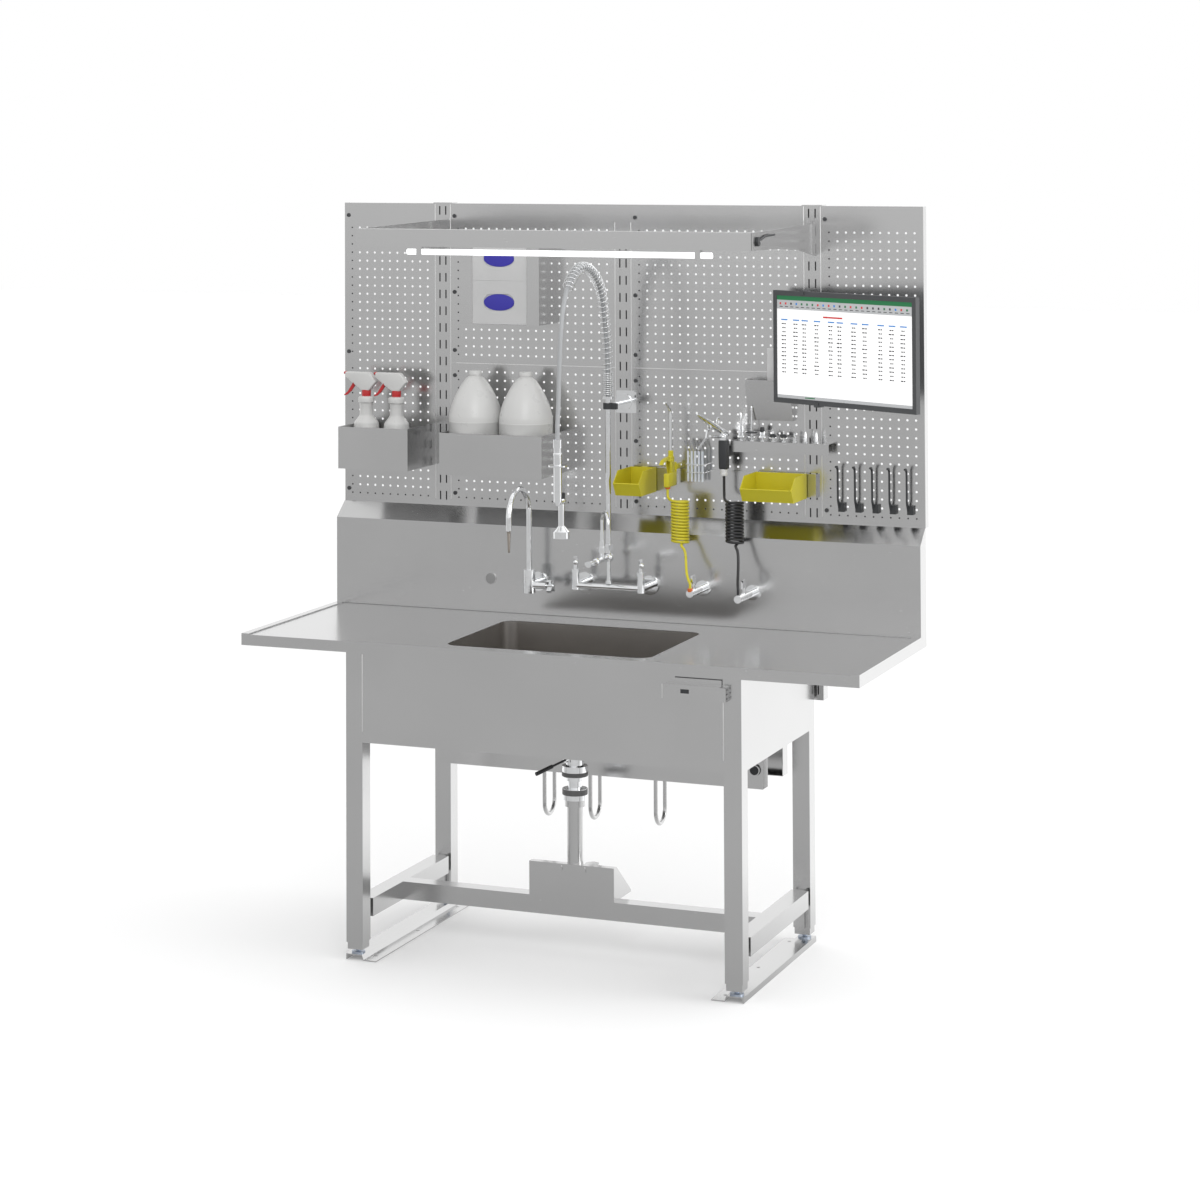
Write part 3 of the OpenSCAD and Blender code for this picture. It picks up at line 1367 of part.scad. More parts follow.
module lab_spout() {
  r = lab_tube_d / 2;
  centre = lab_crest - r - lab_bend;
  step = (lab_leg - lab_tip) / lab_ridges;
  color(chrome) {
    post(lab_pin_r, lab_x, lab_d, lab_top - lab_pin_len, lab_top + over);
    post(r, lab_x, lab_d, lab_top + gap, centre);
    arch(r, lab_bend, lab_x, lab_d + lab_bend, centre, 0, 180);
    post(r, lab_x, lab_d + 2 * lab_bend, lab_leg, centre);
    turned(lab_x, lab_d + 2 * lab_bend, lab_tip, concat([[0, 0]],
      [for (i = [0 : lab_ridges - 1], h = [0, 1])
        let (w = lab_tip_r + (lab_ridge_r - lab_tip_r) * (i + 1) / lab_ridges)
        [h == 0 ? w * lab_valley_share : w, i * step + h * step * lab_valley_share]],
      [[lab_ridge_r * lab_valley_share, lab_leg - lab_tip + over], [0, lab_leg - lab_tip + over]]));
  }
}
module lab_handle() {
  color(chrome) difference() {
    union() {
      bar_x(blade_hub_r, lab_d, lab_z, blade_start, blade_end);
      for (turn = [0, 90]) translate([blade_start, wall_y - lab_d, lab_z]) rotate([45 + turn, 0, 0])
        translate([over, -blade_r, -blade_t / 2]) cube([blade_end - blade_start - 2 * over, 2 * blade_r, blade_t]);
    }
    bar_x(lab_stem_r + pin_gap, lab_d, lab_z, blade_start - over, blade_end + over);
  }
}

// Hose valves on the splashback, each with an upright handle and a barb for its hose
yellow_valve = [266, 998, 175];
black_valve = [418, 993, 198];
valve_d = 147;
valve_r = 11;
valve_rosette = 22;
valve_neck_r = 7;
valve_neck_h = 16;
valve_pin_r = 3;
valve_pin_h = 8;
barb_r = 5;
barb_h = 12;
paddle_hub_r = 6;
paddle_h = 32;
paddle_w = 6;
paddle_l = 15;
module hose_valve(v) {
  bar_y(valve_rosette, v[0], v[1], splash_d, splash_d + rosette_t);
  bar_y(valve_r, v[0], v[1], splash_d, v[2] + barb_r);
  post(valve_neck_r, v[0], valve_d, v[1], v[1] + valve_neck_h);
  post(valve_pin_r, v[0], valve_d, v[1], v[1] + valve_neck_h + valve_pin_h);
  post(barb_r, v[0], v[2], v[1], v[1] + barb_h);
}
module hose_valves() {
  color(chrome) {
    hose_valve(yellow_valve);
    hose_valve(black_valve);
  }
}
module valve_handle(v) {
  foot = v[1] + valve_neck_h + gap;
  difference() {
    union() {
      post(paddle_hub_r, v[0], valve_d, foot, foot + valve_pin_h + gap + over);
      block(v[0] - paddle_w / 2, v[0] + paddle_w / 2, valve_d - paddle_l, valve_d + paddle_l,
        foot + valve_pin_h + gap, foot + paddle_h);
    }
    post(valve_pin_r + pin_gap, v[0], valve_d, foot - over, foot + valve_pin_h);
  }
}
module yellow_valve_handle() {
  color(yellow) valve_handle(yellow_valve);
}
module black_valve_handle() {
  color(dark) valve_handle(black_valve);
}

// Yellow spray gun on a wall strip, its trigger and its coiled hose
y_gun_x = 174;
y_body_w = 24;
y_body = [[148, 1304], [147, 1330], [113, 1328], [96, 1368], [92, 1378], [58, 1378], [56, 1324],
  [47, 1325], [44, 1353], [30, 1353], [23, 1290]];
y_strap = [0, 31, 1336, 1350];
y_nut_r = 8;
y_nut_top = 1394;
y_spout_d = 76;
y_spout_r = 5.3;
y_elbow_z = 1511;
y_tip_len = 50;
y_tip_rise = 32.5;
y_pull = [92, 1367];
y_pull_slot = 5.5;
y_pull_eye = 4.6;
y_pull_pin = 2;
y_pull_reach = 13;
y_pull_points = [[92, 1371.5], [103, 1377.5], [130, 1375.9], [148.2, 1372], [165.6, 1361.1], [158, 1359.5],
  [146.6, 1366], [121.5, 1369.3], [101.6, 1365], [92, 1362.5]];
y_plug_d = 104;
y_plug_r = 7.6;
y_plug_foot = 1286;
module yellow_gun() {
  x = y_gun_x;
  color(yellow) difference() {
    profile(x - y_body_w / 2, x + y_body_w / 2, y_body);
    block(x - y_pull_slot, x + y_pull_slot, y_pull[0] - y_pull_eye - gap, y_body[0][0] + over,
      y_pull[1] - y_pull_reach, y_body[5][1] + over);
    bar_x(y_pull_pin + pin_gap, y_pull[0], y_pull[1], x - y_body_w, x + y_body_w);
  }
  color(chrome) {
    block(x - y_nut_r, x + y_nut_r, y_strap[0], y_strap[1], y_strap[2], y_strap[3]);
    post(y_nut_r, x, y_spout_d, y_body[5][1] - over, y_nut_top);
    post(y_spout_r, x, y_spout_d, y_nut_top - over, y_elbow_z);
    ball(y_spout_r, x, y_spout_d, y_elbow_z);
    translate([x, wall_y - y_spout_d, y_elbow_z]) rotate([90 - y_tip_rise, 0, 0])
      cylinder(r1 = y_spout_r, r2 = y_spout_r / 2, h = y_tip_len, $fn = round_fn);
  }
  color("#c8641e") post(y_plug_r, x, y_plug_d, y_plug_foot, y_body[0][1]);
}
module yellow_trigger() {
  w = y_pull_slot - gap;
  color(yellow) {
    profile(y_gun_x - w, y_gun_x + w, y_pull_points);
    bar_x(y_pull_eye, y_pull[0], y_pull[1], y_gun_x - w, y_gun_x + w);
    bar_x(y_pull_pin, y_pull[0], y_pull[1], y_gun_x - y_body_w / 2, y_gun_x + y_body_w / 2);
  }
}
function winding(x, d, z0, z1, turns, a0) = [for (i = [0 : turns * curl_rings]) let (q = i / curl_rings,
  a = a0 + q * 360, r = (coil_d - hose_d) / 2)
  [x + r * cos(a), wall_y - d + r * sin(a), z0 + (z1 - z0) * q / turns]];
function run(points) = [for (p = points) [p[0], wall_y - p[1], p[2]]];
y_turns = 13.5;
y_in = run([[174, 104, 1286], [174, 104, 1276], [174, 104, 1268], [177, 107, 1260], [185, 115, 1256],
  [194, 121, 1254]]);
y_out = run([[222, 126, 1128], [231, 128, 1118], [237, 131, 1104], [242, 141, 1080], [250, 158, 1052],
  [260, 170, 1034], [266, 175, 1026], [266, 175, 1018], [266, 175, 1010]]);
y_coil = winding(211, 102, 1253, 1133, y_turns, -110);
yellow_path = concat(y_in, y_coil, y_out);
module yellow_hose() {
  color(yellow) sweep(yellow_path, hose_d / 2, curl_sides, [1, 0, 0]);
}

// Black spray gun, its trigger and its coiled hose
b_gun_x = 333;
b_side = 13.5;
b_back = 50;
b_front = 76;
b_foot = 1345;
b_top = 1430;
b_strap = [1380, 1410];
b_collar_r = 10;
b_collar_foot = 1326;
b_neck = 10;
b_neck_top = 1446;
b_barrel = [40, 1444];
b_rise = 17.1;
b_barrel_r = 10;
b_throat_r = 7;
b_throat = 190;
b_cone = 245;
b_end = 271;
b_tip_r = 2;
b_ring = [117, 1488];
b_ring_r = 10;
b_ring_wire = 2.4;
b_pull = [190, 1474];
b_pull_eye = 4.5;
b_pull_pin = 1.5;
b_pull_slot = 2.6;
b_pull_side = 6;
b_pull_points = [[190, 1478], [214, 1472], [224, 1452], [292, 1428], [291, 1424], [219, 1448], [211, 1467],
  [190, 1470]];
b_strut = [70, 1438];
b_strut_r = 3.5;
b_strut_len = 118;
b_strut_rise = 7;
module black_gun() {
  x = b_gun_x;
  d = (b_back + b_front) / 2;
  color(dark) {
    block(x - b_side, x + b_side, b_back, b_front, b_foot, b_top);
    block(x - b_neck, x + b_neck, 0, b_back + over, b_strap[0], b_strap[1]);
  }
  color(white) post(b_collar_r, x, d, b_collar_foot, b_foot);
  color(chrome) difference() {
    union() {
      block(x - b_neck, x + b_neck, b_back, b_front, b_top - over, b_neck_top);
      translate([x, wall_y - b_barrel[0], b_barrel[1]]) rotate([90 - b_rise, 0, 0]) {
        cylinder(r1 = b_barrel_r, r2 = b_throat_r, h = b_throat, $fn = round_fn);
        cylinder(r = b_throat_r - over, h = b_cone, $fn = round_fn);
        translate([0, 0, b_cone]) cylinder(r1 = b_throat_r - over, r2 = b_tip_r, h = b_end - b_cone, $fn = round_fn);
      }
      translate([x, wall_y - b_strut[0], b_strut[1]]) rotate([90 - b_strut_rise, 0, 0])
        cylinder(r = b_strut_r, h = b_strut_len, $fn = small_fn);
      translate([x, wall_y - b_ring[0], b_ring[1]]) rotate([0, 90, 0]) rotate_extrude($fn = round_fn)
        translate([b_ring_r, 0]) circle(r = b_ring_wire, $fn = small_fn);
      block(x - b_pull_side, x + b_pull_side, b_pull[0] - b_pull_eye, b_pull[0] + b_pull_eye,
        b_pull[1] - b_pull_eye, b_pull[1] + 2 * b_pull_eye);
    }
    block(x - b_pull_slot, x + b_pull_slot, b_pull[0] - 2 * b_pull_eye, b_pull[0] + 2 * b_pull_eye,
      b_pull[1] - 2 * b_pull_eye, b_pull[1] + b_pull_eye + gap);
    bar_x(b_pull_pin + pin_gap, b_pull[0], b_pull[1], x - b_side, x + b_side);
  }
}
module black_trigger() {
  w = b_pull_slot - gap;
  color(chrome) {
    profile(b_gun_x - w, b_gun_x + w, b_pull_points);
    bar_x(b_pull_eye, b_pull[0], b_pull[1], b_gun_x - w, b_gun_x + w);
    bar_x(b_pull_pin, b_pull[0], b_pull[1], b_gun_x - b_pull_side, b_gun_x + b_pull_side);
  }
}
b_turns = 12.5;
b_in = run([[333, 63, 1326], [333, 63, 1316], [333, 63, 1290], [334, 65, 1272], [340, 80, 1262],
  [349, 98, 1259], [358, 113, 1258]]);
b_out = run([[388, 127, 1134], [394, 129, 1122], [398, 134, 1104], [402, 146, 1078], [408, 168, 1050],
  [414, 188, 1034], [418, 198, 1024], [418, 198, 1015], [418, 198, 1005]]);
b_coil = winding(377.5, 102, 1257, 1139, b_turns, -110);
black_path = concat(b_in, b_coil, b_out);
module black_hose() {
  color(dark) sweep(black_path, hose_d / 2, curl_sides, [1, 0, 0]);
}
lap = curl_rings;
echo(spring_gap = self_gap(spring_coil, spring_wire / 2, lap), yellow_gap = self_gap(y_coil, hose_d / 2, lap),
  black_gap = self_gap(b_coil, hose_d / 2, lap), curls = len(spring_coil) / lap + y_turns + b_turns);

// Everything is drawn about the bench's centre line, then moved so that the whole
// unit, with the screen that stands out on the right, is centred on X = 0
screen_end = outer_upright + (screen_left + screen_w) * cos(screen_turn) + screen_back * sin(screen_turn);
centre_x = (screen_end - half_w) / 2;
module place() {
  translate([-centre_x, 0, 0]) children();
}
place() floor_rails();
place() levelling_feet();
place() inner_legs();
place() lower_frame();
place() drain_box();
place() leg_sleeves();
place() apron_panels();
place() worktop();
place() sink_bowl();
place() drain_fittings();
place() splashback();
place() uprights();
place() side_panels();
place() middle_panels();
place() panel_screws();
place() service_box();
place() light_arms();
place() monitor_bracket();
place() glove_holder();
place() glove_boxes();
place() steel_baskets();
place() jugs();
place() spray_bottles();
place() wedge_pocket();
place() accessory_rails();
place() nozzles();
place() bins();
place() brush_rack();
place() tube_hooks();
place() mixing_faucet();
place() riser();
place() rinse_spring();
place() rinse_hose();
place() spray_valve();
place() lab_faucet();
place() hose_valves();
place() yellow_gun();
place() yellow_hose();
place() black_gun();
place() black_hose();
place() switch_guard();
place() light_head();
place() light_clamp();
place() monitor_head();
place() monitor();
place() left_trigger();
place() right_trigger();
place() hot_handle();
place() cold_handle();
place() squeeze_lever();
place() addon_spout();
place() addon_handle();
place() lab_spout();
place() lab_handle();
place() yellow_valve_handle();
place() black_valve_handle();
place() yellow_trigger();
place() black_trigger();
place() drain_lever();
place() lift_switch();
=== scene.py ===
# %% [markdown]
# # A laboratory sink unit, dressed for its picture
# The frame gives the unit as exact sheet metal solids, one object for each part.
# This lesson puts a camera in front of them, gives every part a finish, and makes
# the pieces that a solid can't show: coiled hoses, a wound spring, bottles, bristles.
# %% Load the frame
import json
import math

import bmesh
import bpy
import numpy as np
from mathutils import Matrix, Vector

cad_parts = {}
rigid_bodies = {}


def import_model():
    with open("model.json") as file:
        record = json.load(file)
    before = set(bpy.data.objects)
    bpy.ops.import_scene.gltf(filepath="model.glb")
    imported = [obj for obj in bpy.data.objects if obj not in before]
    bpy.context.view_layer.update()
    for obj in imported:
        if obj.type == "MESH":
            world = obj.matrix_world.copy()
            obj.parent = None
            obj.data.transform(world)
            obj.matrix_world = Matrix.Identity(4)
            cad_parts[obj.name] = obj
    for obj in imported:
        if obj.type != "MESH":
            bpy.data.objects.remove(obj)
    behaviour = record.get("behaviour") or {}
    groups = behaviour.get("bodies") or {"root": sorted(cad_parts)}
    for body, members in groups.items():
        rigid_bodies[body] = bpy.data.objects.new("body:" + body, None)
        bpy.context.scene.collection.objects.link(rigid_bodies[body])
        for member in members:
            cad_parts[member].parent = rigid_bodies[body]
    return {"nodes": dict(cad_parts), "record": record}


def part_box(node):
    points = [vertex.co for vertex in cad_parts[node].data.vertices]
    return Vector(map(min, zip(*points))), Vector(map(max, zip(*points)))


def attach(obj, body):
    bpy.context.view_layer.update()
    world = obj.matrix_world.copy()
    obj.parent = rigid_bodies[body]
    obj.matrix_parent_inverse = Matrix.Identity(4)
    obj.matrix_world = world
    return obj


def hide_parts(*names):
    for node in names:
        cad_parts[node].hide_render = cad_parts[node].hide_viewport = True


for leftover in list(bpy.data.objects):
    bpy.data.objects.remove(leftover)
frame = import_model()
cad = frame["nodes"]
home = {n: b for b, names in frame["record"]["behaviour"]["bodies"].items() for n in names}
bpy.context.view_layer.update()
print("parts in the frame:", len(cad))

# %% [markdown]
# ## Places
# The sizes of the unit are easiest to read from its wall: across from the middle of
# the wall, out from its face, and up from the floor, in millimetres. One small
# function turns them into the frame's metres, for single points and for arrays.
# %% Millimetres at the wall to metres in the frame
MM = 0.001
MIDDLE = sum(corner.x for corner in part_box("worktop")) / 2
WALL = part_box("worktop")[1].y


def at(across, out, up):
    """Point (middle + across, wall - out, up), whole arrays at once."""
    x, y, z = np.broadcast_arrays(across, out, up)
    return np.stack([MIDDLE + x * MM, WALL - y * MM, z * MM], -1)


def unit(v):
    """Vectors divided by their own lengths."""
    return v / np.linalg.norm(v, axis=-1, keepdims=True)


def smooth(points, steps):
    """A Catmull-Rom curve: each span is a cubic through its two points, whose slopes
    are half the difference of the points on either side."""
    p = np.asarray(points, float)
    p = np.vstack([2 * p[0] - p[1], p, 2 * p[-1] - p[-2]])
    t = np.arange(steps)[None, :, None] / steps
    a, b, c, d = (p[i:len(p) - 3 + i, None] for i in range(4))
    curve = b + t / 2 * (c - a + t * (2 * a - 5 * b + 4 * c - d + t * (3 * b - a - 3 * c + d)))
    return np.vstack([curve.reshape(-1, p.shape[1]), p[-2]])


print("middle", round(MIDDLE, 4), "wall", round(WALL, 4))

# %% [markdown]
# ## The camera
# The unit is seen from its right, slightly above the wall's top, with a long lens.
# The lens is shifted so that uprights stay upright though the unit fills the middle.
# %% Camera
YAW, PITCH, ROLL = np.radians([22.5959, -1.7805, 0.2063])
EYE, FOCAL, SHIFT_X, SHIFT_Y = [3.10326, -8.10955, 2.3401], 90.748, 0.07892, -0.47261
away = np.array([-np.sin(YAW) * np.cos(PITCH), np.cos(YAW) * np.cos(PITCH), -np.sin(PITCH)])
level = np.array([np.cos(YAW), np.sin(YAW), 0])
plumb = np.cross(away, level)
right = np.cos(ROLL) * level + np.sin(ROLL) * plumb
down = np.cos(ROLL) * plumb - np.sin(ROLL) * level
lens = bpy.data.cameras.new("camera")
lens.lens, lens.sensor_width = FOCAL, 36
lens.shift_x, lens.shift_y = SHIFT_X, SHIFT_Y
lens.clip_end = 100
camera = bpy.data.objects.new("camera", lens)
bpy.context.scene.collection.objects.link(camera)
turn = np.eye(4)
turn[:3] = np.stack([right, -down, -away, EYE], 1)
camera.matrix_world = Matrix(turn.tolist())
bpy.context.scene.camera = camera

# %% [markdown]
# ## Finishes
# A material is a small program. Written node by node it is long, so one class holds
# a socket and lets sums be written as sums, and another makes a finish around
# Blender's main shader. Every finish reads Object coordinates, which are the frame's
# metres here, so a grain has the same size on every part.
# %% Shader sums


class Value:
    """One socket of a finish. +, - and * on it each add a Math node."""

    def __init__(self, finish, socket):
        self.finish, self.socket = finish, socket

    def math(self, kind, *values):
        return self.finish.node("Math", {"operation": kind}, *values)

    def __add__(self, other):
        return self.math("ADD", self, other)

    def __sub__(self, other):
        return self.math("SUBTRACT", self, other)

    def __mul__(self, other):
        return self.math("MULTIPLY", self, other)

    def above(self, level, width):
        """0 below level - width, 1 above level + width, a straight ramp between."""
        return self.finish.node("MapRange", {}, self, level - width, level + width, 0.0, 1.0)

    __radd__ = __add__


class Finish:
    """A material with fixed values, and the nodes that vary some of them."""

    def __init__(self, name, colour, rough, metal=0.0, **fixed):
        self.material = bpy.data.materials.new(name)
        self.material.use_nodes = True
        self.tree = self.material.node_tree
        self.shader = self.tree.nodes["Principled BSDF"]
        self.colour = (*colour, 1.0)
        values = {"Base Color": self.colour, "Roughness": rough, "Metallic": metal}
        values.update({key.replace("_", " "): value for key, value in fixed.items()})
        for key, value in values.items():
            self.set(key, value)
        self.place = self.node("TexCoord", {}, out=3)

    def plug(self, socket, value):
        if isinstance(value, Value):
            self.tree.links.new(value.socket, socket)
        else:
            socket.default_value = value

    def set(self, name, value):
        self.plug(self.shader.inputs[name], value)

    def node(self, kind, settings, *values, out=0, **named):
        """A node of that kind: its settings first, then its sockets in order and by name."""
        made = self.tree.nodes.new("ShaderNode" + kind)
        for key, value in settings.items():
            setattr(made, key, value)
        for socket, value in zip(made.inputs, values):
            self.plug(socket, value)
        for key, value in named.items():
            self.plug(made.inputs[key], value)
        return Value(self, made.outputs[out])

    def mix(self, share, first, second):
        """The colour first * (1 - share) + second * share."""
        made = self.node("Mix", {"data_type": "RGBA"}, share, out=2)
        inputs = made.socket.node.inputs
        self.plug(inputs[6], first)
        self.plug(inputs[7], second)
        return made

    def noise(self, scale, stretch=(1, 1, 1), detail=3.0):
        """Cloudy noise, scale in cycles per metre, drawn out along an axis by stretch."""
        where = self.node("Mapping", {}, Vector=self.place, Scale=stretch)
        return self.node("TexNoise", {}, Vector=where, Scale=scale, Detail=detail)

    def bump(self, height, depth, strength=1.0):
        """Tilts the surface's normal as a relief of that depth in metres would."""
        self.set("Normal", self.node("Bump", {}, Height=height, Distance=depth, Strength=strength))


def tint(colour, share):
    """A colour made lighter (share above 1) or darker, as the shader wants it."""
    return (*[min(1.0, c * share) for c in colour], 1.0)


# %% [markdown]
# ## Stainless sheet
# The real unit is folded from stainless sheet with a fine mill finish. It is mostly a
# soft mirror: it shows the bins and hoses as blurred colour. So the finish is a metal
# of middling roughness, with faint clouds where it has been wiped, a grain along the
# sheet, and a few short scuffs that catch the light.
# %% Metals


def sheet_metal(name, colour, rough, along, grain=1.0):
    """Wiped sheet: base colour and roughness drift with soft clouds, grain runs along."""
    made = Finish(name, colour, rough, 1.0)
    clouds = made.noise(3.5, detail=4.0)
    lines = made.noise(900, along, 2.0)
    scuffs = made.noise(60, (1, 1, 7), 2.0).above(0.76, 0.02)
    made.set("Base Color", made.mix(clouds, tint(colour, 0.95), tint(colour, 1.05)))
    made.set("Roughness", clouds * 0.06 + lines * 0.05 * grain + scuffs * 0.12 + (rough - 0.055))
    made.bump(lines, 0.00002 * grain)
    return made


def polished(name, colour, rough):
    """Plated brass: almost a clean mirror, with water marks that dull it in patches."""
    made = Finish(name, colour, rough, 1.0)
    marks = made.noise(45, detail=4.0).above(0.6, 0.08)
    made.set("Base Color", made.mix(marks, tint(colour, 1.0), tint(colour, 0.93)))
    made.set("Roughness", marks * 0.08 + made.noise(14) * 0.04 + (rough - 0.02))
    made.bump(made.noise(260), 0.00002, 0.4)
    return made


steel = sheet_metal("steel", (0.57, 0.57, 0.57), 0.20, (0.02, 1, 1))
steel_upright = sheet_metal("steel_upright", (0.57, 0.57, 0.57), 0.20, (1, 1, 0.02))
bowl_steel = sheet_metal("bowl_steel", (0.50, 0.48, 0.46), 0.30, (0.02, 1, 1), 1.6)
zinc = sheet_metal("zinc", (0.42, 0.47, 0.55), 0.32, (1, 1, 0.05), 1.4)
chrome = polished("chrome", (0.86, 0.87, 0.88), 0.07)
wire = polished("wire", (0.80, 0.81, 0.82), 0.14)

# %% [markdown]
# ## Plastics, rubber and card
# Moulded parts are not metal: they have one colour, a fine sand-blasted texture from
# the mould, and a soft gloss that is rubbed shiny where hands touch them.
# %% Plastics


def moulded(name, colour, rough, sand=500, depth=0.00004):
    """Moulded plastic: fine sand relief, slow drift of colour, shiny worn patches."""
    made = Finish(name, colour, rough)
    clouds = made.noise(12, detail=3.0)
    worn = made.noise(38, detail=4.0).above(0.64, 0.06)
    made.set("Base Color", made.mix(clouds, tint(colour, 0.94), tint(colour, 1.06)))
    made.set("Roughness", clouds * 0.08 - worn * 0.07 + rough)
    made.bump(made.noise(sand, detail=2.0), depth, 0.6)
    return made


black = moulded("black", (0.030, 0.032, 0.035), 0.42)
rubber = moulded("rubber", (0.022, 0.022, 0.024), 0.38, 300, 0.00006)
screw_black = moulded("screw_black", (0.05, 0.052, 0.056), 0.35)
bezel = moulded("bezel", (0.075, 0.078, 0.082), 0.40)
yellow = moulded("yellow", (0.62, 0.55, 0.022), 0.38)
yellow_hose_plastic = moulded("yellow_hose_plastic", (0.66, 0.58, 0.03), 0.30, 300)
orange = moulded("orange", (0.62, 0.13, 0.02), 0.35)
red = moulded("red", (0.52, 0.024, 0.026), 0.34)
white = moulded("white", (0.72, 0.72, 0.72), 0.36)
milky = moulded("milky", (0.66, 0.66, 0.65), 0.26, 120, 0.00012)
card = moulded("card", (0.66, 0.66, 0.66), 0.55, 240)
film_blue = moulded("film_blue", (0.045, 0.038, 0.42), 0.35, 90, 0.0003)
tube_white = moulded("tube_white", (0.70, 0.74, 0.80), 0.22)
bristle = moulded("bristle", (0.36, 0.36, 0.37), 0.7, 900, 0.0001)
hose_grey = moulded("hose_grey", (0.42, 0.43, 0.44), 0.3, 300)
bronze = polished("bronze", (0.30, 0.27, 0.24), 0.3)
# Painted shade: a dark finish for the shade in gaps, inside the uprights and in holes.
painted_shade = moulded("painted_shade", (0.06, 0.06, 0.062), 0.5)
nut_grey = moulded("nut_grey", (0.16, 0.16, 0.16), 0.4)
# Painted highlight: a light finish for the light caught along the edges of the sheets.
painted_edge_highlight = sheet_metal("painted_edge_highlight", (0.88, 0.88, 0.88), 0.35, (1, 1, 0.02))
cover_steel = sheet_metal("cover_steel", (0.36, 0.36, 0.36), 0.34, (0.02, 1, 1))

# %% [markdown]
# ## Lit and printed surfaces
# A lamp tube and a switched-on screen give light of their own. Their colour is set
# on the emission as well as on the base, so that they still read when the room is dark.
# %% Lit surfaces


def lit(name, colour, strength):
    """A surface that glows evenly, a little uneven as a real diffuser is."""
    made = Finish(name, colour, 0.35, 0.0, Emission_Strength=strength)
    made.set("Emission Color", made.mix(made.noise(9), tint(colour, 0.97), tint(colour, 1.0)))
    return made


tube_light = lit("tube_light", (0.95, 0.96, 0.96), 1.2)
paper = lit("paper", (0.86, 0.86, 0.86), 0.55)
paper_grey = lit("paper_grey", (0.52, 0.53, 0.54), 0.20)
ink = lit("ink", (0.03, 0.03, 0.035), 0.1)
ink_green = lit("ink_green", (0.012, 0.16, 0.055), 0.3)
ink_red = lit("ink_red", (0.60, 0.03, 0.03), 0.3)
ink_blue = lit("ink_blue", (0.03, 0.22, 0.60), 0.3)

# %% [markdown]
# ## A finish for every part of the frame
# The sheet metal solids are exact, so they stay as they are and only take a finish.
# %% Finishes of the frame's own parts
finishes = {
    steel: "floor_rails lower_frame drain_box apron_panels worktop splashback light_arms glove_holder "
           "steel_baskets accessory_rails wedge_pocket light_head service_box switch_guard",
    steel_upright: "inner_legs leg_sleeves uprights side_panels middle_panels",
    bowl_steel: "sink_bowl",
    zinc: "levelling_feet",
    chrome: "drain_fittings mixing_faucet riser spray_valve lab_faucet lab_spout lab_handle hose_valves "
            "hot_handle cold_handle addon_spout addon_handle black_trigger black_gun yellow_valve_handle "
            "black_valve_handle nozzles",
    wire: "rinse_spring brush_rack",
    black: "squeeze_lever light_clamp monitor_bracket monitor_head tube_hooks lift_switch drain_lever",
    rubber: "rinse_hose black_hose",
    screw_black: "panel_screws",
    bezel: "monitor",
    yellow: "bins yellow_gun yellow_trigger yellow_hose",
    red: "left_trigger right_trigger",
    milky: "jugs spray_bottles",
    card: "glove_boxes",
}
for finish, names in finishes.items():
    for name in names.split():
        cad[name].data.materials.clear()
        cad[name].data.materials.append(finish.material)
print("parts with a finish:", sum(len(names.split()) for names in finishes.values()))

# %% [markdown]
# ## Surfaces from arrays
# Each new piece is worked out as arrays of points. A grid of points becomes a skin of
# four-sided faces. Three kinds do almost everything: an outline turned about an axis,
# a round section carried along a line, and a flat outline given a rounded thickness.
# %% Skins


def skin(points, wrap_rows=False, wrap_columns=False):
    """Points in rows and columns: each cell of the grid is a face."""
    rows, columns = points.shape[:2]
    index = np.arange(rows * columns).reshape(rows, columns)
    if wrap_rows:
        index = np.vstack([index, index[:1]])
    if wrap_columns:
        index = np.hstack([index, index[:, :1]])
    faces = np.stack([index[:-1, :-1], index[1:, :-1], index[1:, 1:], index[:-1, 1:]], -1)
    return points.reshape(-1, 3), faces.reshape(-1, 4).tolist()


def soften(outline, cut, closed=True, steps=4):
    """Each corner gives way to a curve: it starts cut before the corner and ends cut
    after it, along the two edges, and is the parabola that those edges touch."""
    p = np.asarray(outline, float)
    before, after = np.roll(p, 1, 0) - p, np.roll(p, -1, 0) - p
    short = np.minimum(np.linalg.norm(before, axis=1), np.linalg.norm(after, axis=1))
    cut = np.minimum(cut, short * 0.45)[:, None]
    a, b = p + unit(before) * cut, p + unit(after) * cut
    t = np.linspace(0, 1, steps)[None, :, None]
    curve = (1 - t) ** 2 * a[:, None] + 2 * t * (1 - t) * p[:, None] + t ** 2 * b[:, None]
    if closed:
        return curve.reshape(-1, p.shape[1])
    return np.vstack([p[:1], curve[1:-1].reshape(-1, p.shape[1]), p[-1:]])


def turned(outline, across, out, up, axis=2, sides=40, lobes=0, lobe_share=0.0):
    """An outline of (radius, height) in mm goes round an axis: the point at angle u is
    centre + height * axis + radius * (cos u, sin u), with lobes as a wave on the radius."""
    r, h = np.asarray(outline, float).T * MM
    u = np.linspace(0, 2 * np.pi, sides, endpoint=False)
    r = r[:, None] * (1 + lobe_share * np.cos(lobes * u))
    ring = np.zeros((len(h), sides, 3))
    first, second = [(1, 2), (2, 0), (0, 1)][axis]
    ring[..., first], ring[..., second] = r * np.cos(u), r * np.sin(u)
    ring[..., axis] = h[:, None] * (-1 if axis == 1 else 1)
    return skin(ring + at(across, out, up), wrap_columns=True)


